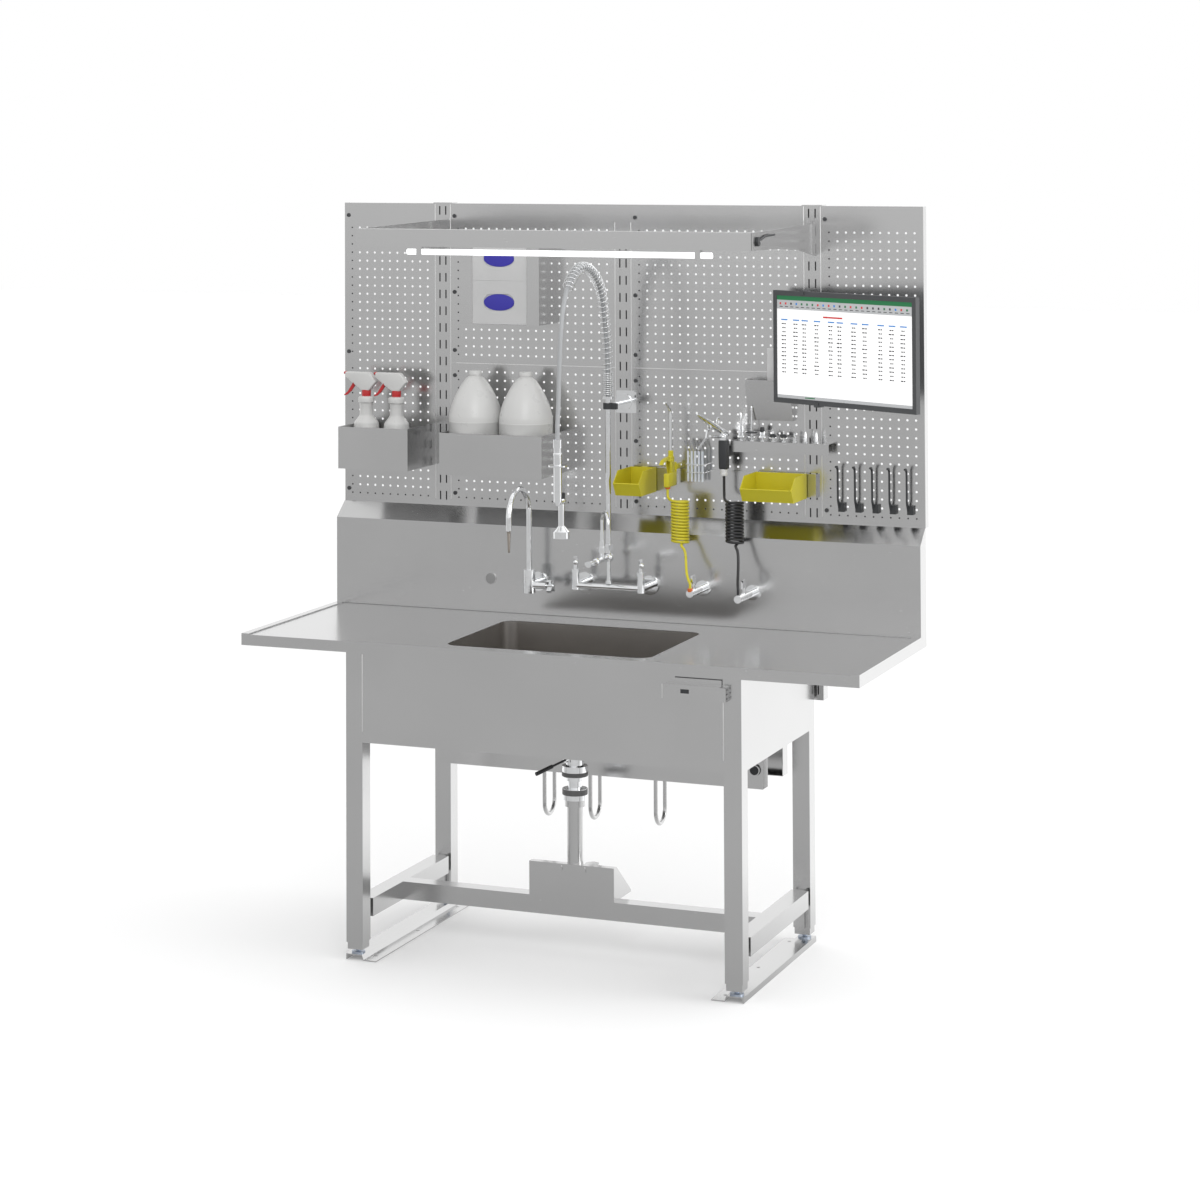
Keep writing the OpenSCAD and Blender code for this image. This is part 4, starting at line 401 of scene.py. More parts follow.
def tube(path, radius, across, sides=16, loop=False):
    """A round section along a line: at each point, path + radius * (cos u * n + sin u * b),
    where n is across made square to the line, and b is square to both. A loop joins its
    last point to its first; any other line has both ends closed."""
    path = np.asarray(path, float)
    radius = np.broadcast_to(np.asarray(radius, float) * MM, len(path))
    t = (np.roll(path, -1, 0) - np.roll(path, 1, 0)) if loop else np.gradient(path, axis=0)
    t = unit(t)
    n = unit(across - (across * t).sum(1, keepdims=True) * t)
    b = np.cross(t, n)
    if not loop:
        path, n, b = (np.vstack([v[:1], v, v[-1:]]) for v in (path, n, b))
        radius = np.concatenate([[0], radius, [0]])
    u = np.linspace(0, 2 * np.pi, sides, endpoint=False)[None, :, None]
    section = np.cos(u) * n[:, None] + np.sin(u) * b[:, None]
    return skin(path[:, None] + radius[:, None, None] * section, loop, True)


def inset(outline, amount):
    """A closed outline with each point moved inwards, square to both of its edges."""
    p = np.asarray(outline, float)
    before, after = unit(p - np.roll(p, 1, 0)), unit(np.roll(p, -1, 0) - p)
    normal = unit(np.stack([before[:, 1] + after[:, 1], -before[:, 0] - after[:, 0]], 1))
    area = (p[:, 0] * np.roll(p[:, 1], -1) - np.roll(p[:, 0], -1) * p[:, 1]).sum()
    lean = (normal * np.stack([before[:, 1], -before[:, 0]], 1)).sum(1).clip(0.5, 1)[:, None]
    return p - normal / lean * amount * np.sign(area)


def plank(outline, low, high, edge, to_frame, steps=3):
    """A flat outline with thickness: it starts inset by edge, swells to its full size
    along a quarter circle, runs to the far face and closes in the same way."""
    t = np.linspace(0, np.pi / 2, steps + 1)
    edge = min(edge, abs(high - low) / 2)
    heights = np.concatenate([low + edge * (1 - np.cos(t)), high - edge * (1 - np.cos(t[::-1]))])
    insets = edge * (1 - np.sin(np.concatenate([t, t[::-1]])))
    rings = np.stack([to_frame(*inset(outline, i).T, h) for i, h in zip(insets, heights)])
    points, faces = skin(rings, wrap_columns=True)
    count = rings.shape[1]
    last = len(points) - count
    return points, faces + [list(range(count)), list(range(last, last + count))]


def side_on(out, up, across):
    """For planks whose outline is (out, up) and whose thickness runs across."""
    return at(across, out, up)


def face_on(across, up, out):
    """For planks whose outline is (across, up) and whose thickness runs out."""
    return at(across, out, up)


def flat_on(across, out, up):
    """For planks that lie flat: outline (across, out), thickness up."""
    return at(across, out, up)


def rounded_box(x0, x1, d0, d1, z0, z1, corner, edge=None):
    """A box square to the wall, with softened corners and edges."""
    outline = soften([[x0, d0], [x1, d0], [x1, d1], [x0, d1]], corner)
    return plank(outline, z0, z1, corner if edge is None else edge, flat_on)


def piece(name, parts, node, replaces=False, angle=38):
    """One object from several skins, each with its finish. It rides with the node's
    body; with replaces it also stands for the node."""
    points, faces, which, coats, start = [], [], [], [], 0
    for (part_points, part_faces), finish in parts:
        if finish.material not in coats:
            coats.append(finish.material)
        points.append(part_points)
        faces += [[i + start for i in face] for face in part_faces]
        which += [coats.index(finish.material)] * len(part_faces)
        start += len(part_points)
    mesh = bpy.data.meshes.new(name)
    mesh.from_pydata(np.vstack(points), [], faces)
    for coat in coats:
        mesh.materials.append(coat)
    mesh.polygons.foreach_set("material_index", which)
    work = bmesh.new()
    work.from_mesh(mesh)
    bmesh.ops.remove_doubles(work, verts=work.verts, dist=2e-6)
    bmesh.ops.recalc_face_normals(work, faces=work.faces)
    work.to_mesh(mesh)
    work.free()
    mesh.shade_smooth()
    mesh.set_sharp_from_angle(angle=math.radians(angle))
    made = bpy.data.objects.new(name, mesh)
    bpy.context.scene.collection.objects.link(made)
    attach(made, home[node])
    if replaces:
        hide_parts(node)
    print(name, len(mesh.polygons), "faces")


# %% [markdown]
# ## Coiled hoses
# Each spray gun hangs on a recoil hose: the tube was wound on a rod and set with heat,
# so its coil springs back by itself. A free hose is kept as a curve, because its own
# line is what its length is measured on. The line leaves the gun straight down, winds
# round, and runs on to the valve on the splashback.
# %% Hoses
COIL_RADIUS = 23.75
HOSE = 8.0


def coil(across, out, top, foot, turns, start):
    """A helix: the angle grows evenly from start, and the height falls evenly."""
    share = np.linspace(0, 1, int(turns * 12) + 1)
    a = np.radians(start + 360 * turns * share)
    return np.stack([across + COIL_RADIUS * np.cos(a), out - COIL_RADIUS * np.sin(a),
                     top + (foot - top) * share], 1)


def hose(name, node, first, winding, last, finish):
    line = smooth(np.vstack([first, winding, last]), 2)
    line = at(*line.T)
    curve = bpy.data.curves.new(name, "CURVE")
    curve.dimensions, curve.bevel_depth, curve.bevel_resolution = "3D", HOSE / 2 * MM, 3
    curve.use_fill_caps = True
    spline = curve.splines.new("POLY")
    spline.points.add(len(line) - 1)
    spline.points.foreach_set("co", np.hstack([line, np.ones((len(line), 1))]).ravel())
    spline.use_smooth = True
    curve.materials.append(finish.material)
    made = bpy.data.objects.new(name, curve)
    bpy.context.scene.collection.objects.link(made)
    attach(made, home[node])
    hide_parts(node)


# %% The two recoil hoses
YELLOW_START = [[174, 104, 1286], [174, 104, 1276], [174, 104, 1268], [177, 107, 1260],
                [185, 115, 1256], [194, 121, 1254]]
YELLOW_END = [[222, 126, 1128], [231, 128, 1118], [237, 131, 1104], [242, 141, 1080],
              [250, 158, 1052], [260, 170, 1034], [266, 175, 1026], [266, 175, 1018],
              [266, 175, 1010]]
BLACK_START = [[333, 63, 1326], [333, 63, 1316], [333, 63, 1290], [334, 65, 1272],
               [340, 80, 1262], [349, 98, 1259], [358, 113, 1258]]
BLACK_END = [[388, 127, 1134], [394, 129, 1122], [398, 134, 1104], [402, 146, 1078],
             [408, 168, 1050], [414, 188, 1034], [418, 198, 1024], [418, 198, 1015],
             [418, 198, 1005]]
hose("hose_yellow", "yellow_hose", YELLOW_START, coil(211, 102, 1253, 1133, 13.5, -110),
     YELLOW_END, yellow_hose_plastic)
hose("hose_black", "black_hose", BLACK_START, coil(377.5, 102, 1257, 1139, 12.5, -110),
     BLACK_END, rubber)

# %% [markdown]
# ## The rinse spring and its hose
# A long steel spring holds the hose of the rinse spray up. At its foot the turns are
# close together, and above they open out. A spring could be made with the Screw
# modifier, but that can't bend over; here each turn is placed on the hose's own line.
# %% Spring and hose
SPRING_ROUTE = [[137, 1552], [137, 1570], [137, 1590], [137, 1620], [143, 1690], [153, 1741],
                [165, 1790], [180, 1838], [205, 1878], [238, 1905], [281, 1927], [332, 1937],
                [380, 1931], [426, 1908], [460, 1880]]
HOSE_ROUTE = [[482, 1845], [500, 1800], [513, 1740], [522, 1660], [530, 1560], [538, 1500],
              [538, 1483], [538, 1466]]
RISER_X, TIGHT, TIGHT_PITCH, OPEN_PITCH, SIT, RINGS = 2, 68, 5.6, 15.8, 2.2, 28
SPRING_RADIUS, SPRING_WIRE = 14.9, 3.2
route = smooth(SPRING_ROUTE, 4)
along = np.concatenate([[0], np.cumsum(np.linalg.norm(np.diff(route, axis=0), axis=1))])
tight_turns = TIGHT / TIGHT_PITCH
open_turns = (along[-1] - TIGHT - SIT) / OPEN_PITCH
turn_count = np.arange(int((tight_turns + open_turns) * RINGS)) / RINGS
travel = SIT + np.where(turn_count < tight_turns, turn_count * TIGHT_PITCH,
                        TIGHT + (turn_count - tight_turns) * OPEN_PITCH)


def on_route(s):
    """The point of the hose's line at length s from the riser's top."""
    return at(RISER_X, np.interp(s, along, route[:, 0]), np.interp(s, along, route[:, 1]))


forward = unit(on_route(np.minimum(travel, along[-1] - 2) + 2) - on_route(np.minimum(travel, along[-1] - 2)))
round_turn = 2 * np.pi * turn_count[:, None]
radial = np.cos(round_turn) * [1, 0, 0] + np.sin(round_turn) * np.cross(forward, [1, 0, 0])
piece("spring", [(tube(on_route(travel) + radial * SPRING_RADIUS * MM, SPRING_WIRE / 2, radial, 10), wire)],
      "rinse_spring", True)
hose_line = smooth(SPRING_ROUTE + HOSE_ROUTE, 5)
piece("rinse_tube", [(tube(at(RISER_X, *hose_line.T), 6.5, np.array([1.0, 0, 0]), 20), hose_grey)],
      "rinse_hose", True)

# %% [markdown]
# ## Bottles and jugs
# Both are blow moulded: a soft skin that thins at the shoulders. They are outlines
# turned about an axis, with every corner softened. The spray head is a flat outline
# with thickness, made as two cheeks and a core, so that the trigger has its slot.
# %% Spray bottles
BOTTLE = [[0, 1317.8], [42, 1317.8], [42, 1410], [36.8, 1447], [20.5, 1468], [19.5, 1487], [20.5, 1506],
          [24.5, 1507], [24.5, 1524], [12, 1526.5], [0, 1527]]
HEAD = [[-66, 1598], [14.7, 1598], [35.6, 1570], [12, 1543], [-12, 1543], [-62, 1580], [-66, 1584]]
HEAD_CORE = HEAD[:5] + [[-31, 1557], [-31, 1571.5], [-49.5, 1571.5]] + HEAD[5:]
BOTTLE_OUT, BOTTLES = 102, (-794.2, -694)
parts = []
for x in BOTTLES:
    shifted = [np.array(shape) + [x, 0] for shape in (HEAD, HEAD_CORE)]
    parts += [
        (turned(soften(BOTTLE, 4, False), x, BOTTLE_OUT, 0, sides=56), milky),
        (turned([[0, 1525.6], [13.2, 1525.6], [13.6, 1526.4], [13.6, 1543.4], [13.2, 1544.4], [0, 1544.4]],
                x, BOTTLE_OUT, 0, sides=72, lobes=24, lobe_share=0.02), red),
        (plank(soften(shifted[0], 4), BOTTLE_OUT - 12, BOTTLE_OUT - 4, 3, face_on), milky),
        (plank(soften(shifted[0], 4), BOTTLE_OUT + 4, BOTTLE_OUT + 12, 3, face_on), milky),
        (plank(soften(shifted[1], 1.5), BOTTLE_OUT - 6, BOTTLE_OUT + 6, 0.2, face_on), milky),
        (turned([[0, 0], [3.4, 0], [4, 0.8], [4, 5], [5.2, 5.4], [5.2, 9], [0, 9]], x - 74, BOTTLE_OUT, 1594,
                axis=0, sides=24), red)]
piece("bottles", parts, "spray_bottles", True)

# %% Jugs
JUG_SIDE = smooth([[80.5, 1463], [80.3, 1470], [79, 1482], [72, 1510], [61, 1537], [46, 1565], [30, 1587],
                   [17.4, 1597]], 5)
JUG = np.vstack([[[0, 1308.8], [76, 1308.8], [80.5, 1313], [80.5, 1461], [81.1, 1462.2]], JUG_SIDE,
                 [[17.2, 1599], [19, 1600], [19, 1610.6], [18, 1612], [0, 1612]]])
JUG_OUT, JUGS = 95.4, (-436.8, -274)
print("jug places", JUGS)
piece("jugs_pair", [(turned(JUG, x, JUG_OUT, 0, sides=96), milky) for x in JUGS], "jugs", True)

# %% [markdown]
# ## Glove boxes
# Each box has an oval window, filled by a film with a rounded rim.
# %% Glove box windows
GLOVE_FACE, OVALS = 99.8, ((-358, 1816.9), (-358, 1947.4))
round_u = np.linspace(0, 2 * np.pi, 64, endpoint=False)
parts = []
for x, z in OVALS:
    edge = np.stack([x + 49.1 * np.cos(round_u), z + 24.7 * np.sin(round_u)], 1)
    parts.append((plank(edge, GLOVE_FACE - 2.9, GLOVE_FACE - 0.2, 1.2, face_on), film_blue))
piece("glove_windows", parts, "glove_boxes")

# %% [markdown]
# ## The screen's picture
# The screen shows a table, as a work list would look. It is a generic design of
# strokes with no words: bars and dashes laid a fraction of a millimetre proud of the
# glass, in the screen's own plane, so they stay sharp at any size.
# %% Screen picture
SCREEN_TURN = np.radians(26.6)
SCREEN_X, SCREEN_OUT, SCREEN_Z, GLASS = 584.2, 80, 1706.9, -41.5
GLASS_LEFT, GLASS_RIGHT, GLASS_HALF = -68.7, 446.3, 146.5


def screen_plane(x, z, proud):
    """A point on the turned screen: x along it, z up, proud in front of the glass."""
    y = GLASS - proud
    return at(SCREEN_X + x * np.cos(SCREEN_TURN) + y * np.sin(SCREEN_TURN),
              SCREEN_OUT + x * np.sin(SCREEN_TURN) - y * np.cos(SCREEN_TURN), SCREEN_Z + z)


def stroke(x0, x1, z0, z1, proud=0.3):
    return plank([[x0, z0], [x1, z0], [x1, z1], [x0, z1]], -0.1, proud, 0, screen_plane, 1)


shake = np.random.default_rng(11)
picture = [(stroke(GLASS_LEFT + 0.3, GLASS_RIGHT - 0.3, -GLASS_HALF + 0.3, GLASS_HALF - 0.3, 0.1), paper),
           (stroke(GLASS_LEFT + 0.3, GLASS_RIGHT - 0.3, 134, GLASS_HALF - 0.3, 0.25), ink_green),
           (stroke(GLASS_LEFT + 0.3, GLASS_RIGHT - 0.3, 108, 134, 0.15), paper_grey),
           (stroke(GLASS_LEFT + 0.3, GLASS_RIGHT - 0.3, -GLASS_HALF + 0.3, -137, 0.15), paper_grey),
           (stroke(40, 78, -143, -140), ink_green), (stroke(112, 186, 88.5, 93), ink_red)]
for x in np.arange(-58, 430, 21):
    tone = (ink_red, ink_blue, ink_green, ink)[int(shake.integers(4))]
    picture.append((stroke(x, x + 6, 121, 127), tone))
    picture.append((stroke(x, x + 12, 114, 116), ink))
columns = np.array([-40, 6, 40, 88, 142, 176, 230, 272, 330, 372, 414])
for x in columns:
    picture.append((stroke(x - 12, x + 13, 76, 79.5), ink_blue))
    for row in range(13):
        z = 66 - row * 11.5
        wide = shake.uniform(7, 12)
        picture.append((stroke(x - wide, x - 2, z - 1.6, z + 1.6), ink))
        picture.append((stroke(x, x + wide * 0.6, z - 1.6, z + 1.6), ink))
for x in np.arange(-60, 440, 46):
    picture.append((stroke(x, x + 0.5, -137, 108, 0.18), paper_grey))
piece("screen_picture", picture, "monitor")

# %% [markdown]
# ## The wipes pack
# A flat white pack stands in the wedge pocket.
# %% Wipes pack
piece("wipes_pack", [(rounded_box(451.6, 526.6, 1.7, 18.4, 1503.6, 1694.5, 1.2, 0.8), white)], "wedge_pocket")

# %% [markdown]
# ## Spare nozzles
# Eight small fittings stand in the holes of a rack. Each is an outline turned about
# its stem; some carry a black rubber cap, and five have a cross pin with a ball at
# each end.
# %% Nozzles
RACK_TOP, NOZZLE_OUT, NOZZLE_X, NOZZLE_STEP = 1426, 35.5, 376.2, 32.5
STEM = [[0, -24], [4.6, -24], [5, -23], [5, 0], [7, 0.2], [7, 3.6], [6, 4.2]]
SMALL = ([[2.5, 4.4], [2.5, 15], [2, 24], [1.5, 33], [0, 34]],
         [[0, 14.8], [10.2, 14.8], [10.6, 16], [9, 20], [5, 23.2], [0, 24]])
CONE = ([[6, 4.4], [5.5, 14], [2.5, 35], [1.5, 36], [0, 36]], [])
NOZZLES = [
    ([[2.5, 4.4], [2.5, 48], [3.6, 51], [3.6, 80], [2.6, 82], [0, 82]], []),
    ([[2.2, 4.4], [2.2, 88], [3.2, 90], [3.2, 100], [2.2, 102], [0, 102]],
     [[0, 23.8], [17.5, 23.8], [17.5, 26.4], [3, 28.2], [0, 28.2]]),
    ([[3, 4.4], [3, 28], [0, 28]], [[0, 27.8], [6.2, 27.8], [6.4, 29], [6.2, 40], [5, 42], [0, 42]]),
    SMALL, SMALL,
    ([[5.5, 4.4], [5.5, 14], [3, 17], [4.2, 19], [4.2, 27], [3, 28], [0, 28]], []),
    CONE, CONE]
SIDE_TUBES, PIN_HALF, PIN_R, PIN_UP = {0: 44, 2: 30}, 8, 2.6, 12
ball = [[4.5 * math.sin(a), -4.5 * math.cos(a)] for a in np.linspace(0, math.pi, 13)]
parts = []
for i, (outline, cap) in enumerate(NOZZLES):
    x = NOZZLE_X + i * NOZZLE_STEP
    parts.append((turned(STEM + outline, x, NOZZLE_OUT, RACK_TOP, sides=28), chrome))
    if cap:
        parts.append((turned(cap, x, NOZZLE_OUT, RACK_TOP, sides=32), black))
    if i < 5:
        pin = [[0, -PIN_HALF], [PIN_R, -PIN_HALF], [PIN_R, PIN_HALF], [0, PIN_HALF]]
        parts.append((turned(pin, x, NOZZLE_OUT, RACK_TOP + PIN_UP, axis=0, sides=16), chrome))
        for side in (-PIN_HALF, PIN_HALF):
            parts.append((turned(ball, x + side, NOZZLE_OUT, RACK_TOP + PIN_UP, sides=20), chrome))
            if i in SIDE_TUBES:
                tall = SIDE_TUBES[i]
                side_tube = [[0, PIN_UP], [PIN_R, PIN_UP], [PIN_R, tall - 1], [2, tall], [0, tall]]
                parts.append((turned(side_tube, x + side * 0.68, NOZZLE_OUT, RACK_TOP, sides=16), chrome))
piece("nozzle_set", parts, "nozzles", True)

# %% [markdown]
# ## Tube brushes
# Five brushes stand in plastic tubes, held by two bent wires. Their bristles lean
# together. A core gives each head its mass, and a few stiff hairs give its ragged edge.
# %% Brush rack
BRUSHES, BRUSH_OUT, LEAN, BIN_RAIL_OUT = (214.4, 225.5, 236.6, 247.7, 258.8), 38, np.radians(-17), 8
BRUSH_TUBE = [[0, 1302], [2.9, 1302], [3.6, 1302.8], [3.6, 1350], [3.75, 1351], [3.75, 1354], [3.6, 1355],
              [3.6, 1390.4], [3, 1391], [0, 1391]]
tip_way = np.array([np.sin(LEAN), 0, np.cos(LEAN)])
parts = []
for z, start in ((1329, BIN_RAIL_OUT), (1352, 0)):
    bend = soften([[207.4, start], [207.4, 43], [266.6, 43], [266.6, start]], 6, False, 6)
    parts.append((tube(at(*bend.T, z), 1.4, np.array([0, 0, 1.0]), 10), wire))
for x in BRUSHES:
    parts.append((turned(BRUSH_TUBE, x, BRUSH_OUT, 0, sides=20), tube_white))
    foot = at(x, BRUSH_OUT, 1389.5)
    parts.append((tube(foot + np.linspace(0, 33, 6)[:, None] * MM * tip_way, [1.8, 2.2, 2.5, 2.6, 2.4, 1.2],
                       np.array([0, 1.0, 0]), 10), bristle))
    for a in np.linspace(0, 2 * np.pi, 14, endpoint=False):
        spread = np.array([np.cos(a) * np.cos(LEAN), np.sin(a), -np.cos(a) * np.sin(LEAN)])
        grow = np.linspace(0, 1, 5)[:, None]
        reach = 34 + shake.uniform(-2.5, 0.4)
        hair = foot + (grow * reach * tip_way + (1.6 + 1.4 * grow) * spread) * MM
        parts.append((tube(hair, [0.45, 0.45, 0.4, 0.35, 0.2], np.array([0, 1.0, 0.1]), 5), bristle))
piece("brushes", parts, "brush_rack", True)

# %% [markdown]
# ## The yellow spray gun
# A base block carries two moulded cheeks round a core, and hangs on a strap. A polished
# spout bends over at its end, and an orange plug joins the hose.
# %% Yellow gun
GUN_X = 174
GUN_CHEEK = [[64, 1326], [88, 1326], [99, 1358], [97, 1371], [90, 1378], [64, 1378]]
GUN_CORE = [[64, 1320], [86, 1320], [86, 1378], [64, 1378]]
GUN_NUT = [[0, 1376], [8, 1376], [8, 1393], [6, 1395], [0, 1395]]
spout = smooth([[76, 1390], [76, 1440], [76, 1490], [78, 1507], [85, 1517], [99, 1526], [117, 1537.5]], 6)
spout_r = np.interp(np.arange(len(spout)), [0, 18, len(spout) - 1], [5.3, 5.3, 2.7])
parts = [
    (plank(soften(GUN_CHEEK, 3), GUN_X - 7, GUN_X - 4.5, 1, side_on), yellow),
    (plank(soften(GUN_CHEEK, 3), GUN_X + 4.5, GUN_X + 7, 1, side_on), yellow),
    (plank(soften(GUN_CORE, 2), GUN_X - 5.6, GUN_X + 5.6, 0.2, side_on), yellow),
    (rounded_box(GUN_X - 8, GUN_X + 8, 46, 117, 1291, 1331, 3), yellow),
    (rounded_box(GUN_X - 3, GUN_X + 3, 31.5, 36, 1291, 1357, 1), yellow),
    (rounded_box(GUN_X - 3, GUN_X + 3, 31.5, 50, 1291, 1298, 1), yellow),
    (rounded_box(GUN_X - 5, GUN_X + 5, 0, 34, 1336, 1350, 0.8), yellow),
    (turned(soften(GUN_NUT, 1, False), GUN_X, 76, 0, sides=6), yellow),
    (tube(at(GUN_X, *spout.T), spout_r, np.array([1.0, 0, 0]), 20), chrome),
    (turned([[0, 1285.8], [7, 1285.8], [7.8, 1287], [7.8, 1299], [6.6, 1300], [6.6, 1306], [0, 1306]],
            GUN_X, 104, 0, sides=24), orange)]
piece("gun_yellow", parts, "yellow_gun", True, 30)
piece("hose_plug", [(turned([[4.2, 1003], [7.4, 1003], [7.8, 1004], [7.8, 1012], [7.2, 1013], [4.2, 1013],
                             [4.2, 1003]], 266, 175, 0, sides=24), orange)], "hose_valves")

# %% [markdown]
# ## The black spray gun
# An air gun: a soft black grip, a white collar for the hose, and a plated barrel that
# narrows to its tip, with a hanging ring and a thin lever below.
# %% Black gun
BLACK_X, RISE = 333, np.radians(17.1)
barrel_way = np.array([np.cos(RISE), np.sin(RISE)])
barrel = np.array([40, 1444]) + np.array([0, 1.5, 188, 190, 243, 245, 271])[:, None] * barrel_way
ring_u = np.linspace(0, 2 * np.pi, 40, endpoint=False)
RING_OUT, RING_UP, RING_R = 117, 1488, 10
strut = np.array([70, 1438]) + np.array([0, 118])[:, None] * [np.cos(np.radians(7)), np.sin(np.radians(7))]
GRIP = [[50, 1345], [75, 1345], [77, 1388], [76, 1430], [50, 1430]]
parts = [
    (plank(soften(GRIP, 6), BLACK_X - 13.5, BLACK_X + 13.5, 5, side_on), black),
    (rounded_box(BLACK_X - 10, BLACK_X + 10, 0, 52, 1380, 1410, 1.5), black),
    (turned(soften([[0, 1325.8], [9, 1325.8], [10, 1328], [10, 1334], [9.2, 1336], [10, 1338], [10, 1346],
                    [0, 1346]], 1, False), BLACK_X, 63, 0, sides=32), white),
    (rounded_box(BLACK_X - 10, BLACK_X + 10, 50, 76, 1428, 1446, 3), chrome),
    (tube(at(BLACK_X, *barrel.T), [9, 10, 7, 6, 6, 5.6, 2], np.array([1.0, 0, 0]), 28), chrome),
    (tube(at(BLACK_X, RING_OUT + RING_R * np.cos(ring_u), RING_UP + RING_R * np.sin(ring_u)), 2.4,
          np.array([1.0, 0, 0]), 12, True), chrome),
    (tube(at(BLACK_X, *strut.T), 3.5, np.array([1.0, 0, 0]), 14), wire),
    (rounded_box(BLACK_X - 6, BLACK_X - 2.7, 185.5, 194.5, 1469.5, 1484, 0.8), chrome),
    (rounded_box(BLACK_X + 2.7, BLACK_X + 6, 185.5, 194.5, 1469.5, 1484, 0.8), chrome)]
piece("gun_black", parts, "black_gun", True, 30)

# %% [markdown]
# ## Small parts, painted highlights and painted shade
# The pipe clip, the serrated end of the laboratory tap, the cable gland, the light strips
# painted as highlights along the edges of the sheets, and the dark strips and discs painted
# as shade in gaps, inside the uprights and beside the peg holes are small, but they are
# what the eye reads as detail.
# %% Clip, serrated end, gland and light tube
piece("riser_clip", [
    (turned([[8.2, 1514.6], [13.8, 1514.6], [14.5, 1515.4], [14.5, 1531.6], [13.8, 1532.4], [8.2, 1532.4],
             [8.2, 1514.6]], RISER_X, 137, 0), black),
    (rounded_box(RISER_X + 9, RISER_X + 28.5, 129.6, 144.4, 1514.6, 1532.4, 0.6), black)], "riser")
ridges = []
for i in range(7):
    wide = 3.1 + 2.9 * (i + 1) / 7
    ridges += [[wide * 0.8, 1103.7 + i * 9], [wide, 1103.7 + (i + 0.8) * 9]]
piece("serrated_end", [(turned([[0, 1103.7]] + ridges + [[0, 1167.2]], -250, 289, 0, sides=28), bronze)],
      "lab_spout")
GLAND = [[0, 217.8], [16.5, 217.8], [16.5, 223], [12.5, 227], [0, 227]]
piece("cable_gland", [(turned(soften(GLAND, 1, False), 472, 0, 519.3, axis=1, sides=36), black)],
      "service_box")
LIGHT_TUBE = [[0, 0], [8.3, 0], [8.3, 914.8], [0, 914.8]]
piece("light_tube", [(turned(soften(LIGHT_TUBE, 1.5, False), -439.4, 579, 1986, axis=0, sides=32),
                      tube_light)], "light_head")

# %% Painted edge highlights and painted shade, covers, nuts and the back joint
PITCH_MM, WALL_TOP = 25.4, 2108.2
PANELS = ((-914.4, 10), (609.6, 10), (-558.8, 19), (25.4, 19))
spots = []
for left, count in PANELS:
    spots += [(left + PITCH_MM, WALL_TOP - PITCH_MM * k) for k in range(3, 36) if k != 19]
    spots += [(left + PITCH_MM * (i + 2), WALL_TOP - PITCH_MM * 35) for i in range(count)]
UPRIGHT_HALF, UPRIGHTS = 25.4, ((-584.2, 2108), (0, 2057), (584.2, 2108))
# Painted shade: a dark sheet inside each upright stands for the shade in its channel.
piece("upright_inside_shade", [(rounded_box(x - 23, x + 23, -9, -7, 690, top - 4, 0.3), painted_shade)
                          for x, top in UPRIGHTS], "uprights")
# Painted highlights: light strips along the edges of each upright.
piece("upright_edge_highlights", [(rounded_box(x + side * UPRIGHT_HALF - 0.8, x + side * UPRIGHT_HALF + 0.8, -0.4, 0.5,
                                     1213, top - 2, 0.2), painted_edge_highlight)
                        for x, top in UPRIGHTS for side in (-1, 1)], "uprights")
piece("hole_cover", [(turned(soften([[0, -1], [17.6, -1], [17.6, 1.6], [15, 2.3], [0, 2.3]], 0.6, False),
                             -404, 59.7, 990, axis=1, sides=48), cover_steel)], "splashback")
APRON_FRONT, HOOD_FRONT, HOOD_TOP, TAB_TOP = 683.8, 708.3, 838, 856.5
HOOD, TAB = (370.3, 549.7), (398.8, 533)
HOOD_FOOT, HOOD_SLITS, DRAIN_X, DRAIN_OUT, DECK, SPLASH_OUT = 800.3, (806, 818, 830), -10, 384, 890.4, 59.6
tab_out = (APRON_FRONT, APRON_FRONT + 2.2)
hood_out = (HOOD_FRONT - 3, HOOD_FRONT - 0.1)
# Painted shadow: dark strips in the gaps along the tab and the hood's top; painted shade in the slits; a
# painted highlight up the hood's left edge.
piece("hood_shadow_and_highlight_lines", [
    (rounded_box(*TAB, *tab_out, TAB_TOP - 3, TAB_TOP, 0.3), painted_shade),
    (rounded_box(TAB[1] - 2, TAB[1], *tab_out, HOOD_TOP, TAB_TOP, 0.3), painted_shade),
    (rounded_box(TAB[1], HOOD[1], *hood_out, HOOD_TOP - 1, HOOD_TOP + 0.8, 0.3), painted_shade),
    (rounded_box(HOOD[0] - 1.2, HOOD[0] + 0.2, *hood_out, HOOD_FOOT, HOOD_TOP, 0.2), painted_edge_highlight),
    *[(rounded_box(HOOD[1] - 0.2, HOOD[1] + 0.3, HOOD_FRONT - 15, HOOD_FRONT - 5, up, up + 4, 0.1), painted_shade)
      for up in HOOD_SLITS]], "switch_guard")
# Painted highlights: light strips where the apron meets the leg sleeves.
highlight_out = (APRON_FRONT - 0.3, APRON_FRONT + 0.5)
piece("apron_edge_highlights", [(rounded_box(x - 0.9, x + 0.9, *highlight_out, 640, top, 0.2), painted_edge_highlight)
                      for x, top in ((-534.7, 856), (534.7, 798))], "apron_panels")
piece("drain_nuts", [(turned(soften([[34, low], [radius, low], [radius, high], [34, high]], 1, False),
                             DRAIN_X, DRAIN_OUT, 0), nut_grey)
                     for radius, low, high in ((36.4, 447, 463), (37.4, 499, 511))], "drain_fittings")
piece("back_joint", [(rounded_box(-905, 905, SPLASH_OUT, SPLASH_OUT + 1.3, DECK, DECK + 1.6, 0.3),
                      cover_steel)], "worktop")
# Painted shade: small dark discs on the peg grid stand for the shade inside holes.
HOLE_SHADE_DISC = [[0, -0.2], [2.3, -0.2], [2.6, 0.15], [0, 0.3]]
piece("peg_hole_shade", [(turned(HOLE_SHADE_DISC, x, 0, z, axis=1, sides=10), painted_shade)
                      for x, z in spots], "middle_panels")

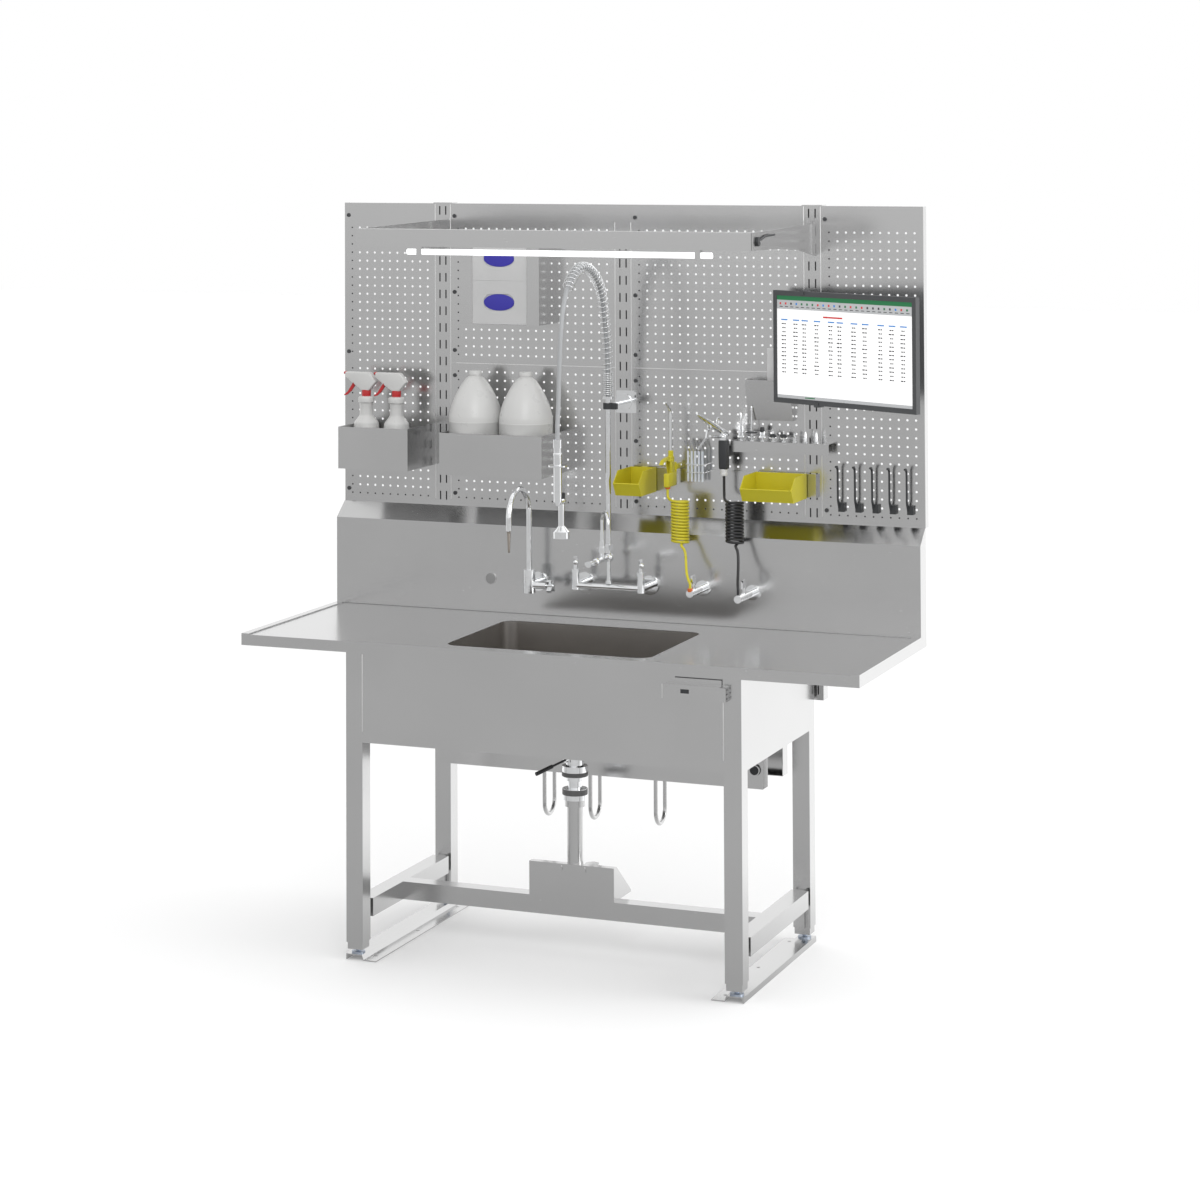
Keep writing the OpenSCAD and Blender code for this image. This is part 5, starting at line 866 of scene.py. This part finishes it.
# %% [markdown]
# ## The room
# The floor is plain and pale, and the room round it is white. Metal needs something
# to mirror: the room is brightest behind the unit and to its right, and softer where
# the camera stands, so faces turned to the right shine and faces turned to us don't.
# The camera sees the floor paler than the light that bounces off it.
# %% Floor
floor_finish = Finish("floor", (0.90, 0.90, 0.90), 0.9)
seen = floor_finish.node("LightPath", {})
paths = seen.socket.node.outputs
floor_finish.set("Base Color", floor_finish.mix(seen, (0.30, 0.30, 0.30, 1), (0.82, 0.82, 0.82, 1)))
shown = Value(floor_finish, paths["Is Glossy Ray"]) + Value(floor_finish, paths["Is Transmission Ray"])
split = floor_finish.node("SeparateXYZ", {}, floor_finish.place)
place_y = Value(floor_finish, split.socket.node.outputs["Y"])
floor_finish.set("Emission Color", (1, 1, 1, 1))
floor_finish.set("Emission Strength", seen * 0.13 + shown * (0.22 + place_y.above(0.3, 0.8) * 0.75))
floor_mesh = bpy.data.meshes.new("floor")
FLOOR_HALF, FLOOR_Z = 30, -0.001
floor_mesh.from_pydata([[x * FLOOR_HALF, y * FLOOR_HALF, FLOOR_Z]
                        for x, y in ((-1, -1), (1, -1), (1, 1), (-1, 1))], [], [[0, 1, 2, 3]])
floor_mesh.materials.append(floor_finish.material)
floor = bpy.data.objects.new("floor", floor_mesh)
bpy.context.scene.collection.objects.link(floor)

# %% World and lamps
world = bpy.data.worlds.new("room")
bpy.context.scene.world = world
world.use_nodes = True
nodes, links = world.node_tree.nodes, world.node_tree.links


def world_node(kind, settings, *values):
    made = nodes.new("ShaderNode" + kind)
    for key, value in settings.items():
        setattr(made, key, value)
    for socket, value in zip(made.inputs, values):
        if isinstance(value, bpy.types.NodeSocket):
            links.new(value, socket)
        else:
            socket.default_value = value
    return made


sky = world_node("TexCoord", {}).outputs["Generated"]
parts_xyz = world_node("SeparateXYZ", {}, sky).outputs
FRONT_LEVEL, RIGHT_GAIN, BACK_LEVEL = 0.93, 0.20, 1.2
depth_share = world_node("MapRange", {}, parts_xyz["Y"], -0.35, 0.35, FRONT_LEVEL, BACK_LEVEL).outputs[0]
side_gain = world_node("Math", {"operation": "MULTIPLY"}, parts_xyz["X"], RIGHT_GAIN).outputs[0]
room_level = world_node("Math", {"operation": "ADD"}, depth_share, side_gain).outputs[0]
ray = world_node("LightPath", {}).outputs
level_or_white = world_node("Mix", {}, ray["Is Camera Ray"])
links.new(room_level, level_or_white.inputs[2])
level_or_white.inputs[3].default_value = 1.0
links.new(level_or_white.outputs[0], nodes["Background"].inputs["Strength"])
nodes["Background"].inputs["Color"].default_value = (1, 1, 1, 1)


def soft_lamp(name, place, aim, width, watts):
    lamp = bpy.data.lights.new(name, "AREA")
    lamp.shape, lamp.size, lamp.energy = "DISK", width, watts
    made = bpy.data.objects.new(name, lamp)
    bpy.context.scene.collection.objects.link(made)
    back = unit(np.array(place, float) - aim)
    side = unit(np.cross([0, 0, 1.0], back))
    frame_of = np.eye(4)
    frame_of[:3] = np.stack([side, np.cross(back, side), back, place], 1)
    made.matrix_world = Matrix(frame_of.tolist())


soft_lamp("lamp_front", [2.0, -6.0, 5.0], [0, 0, 1.2], 4.0, 110)
soft_lamp("lamp_right", [6.0, 0.5, 3.0], [0, 0, 1.0], 3.0, 80)
bpy.context.scene.view_settings.view_transform = "Standard"
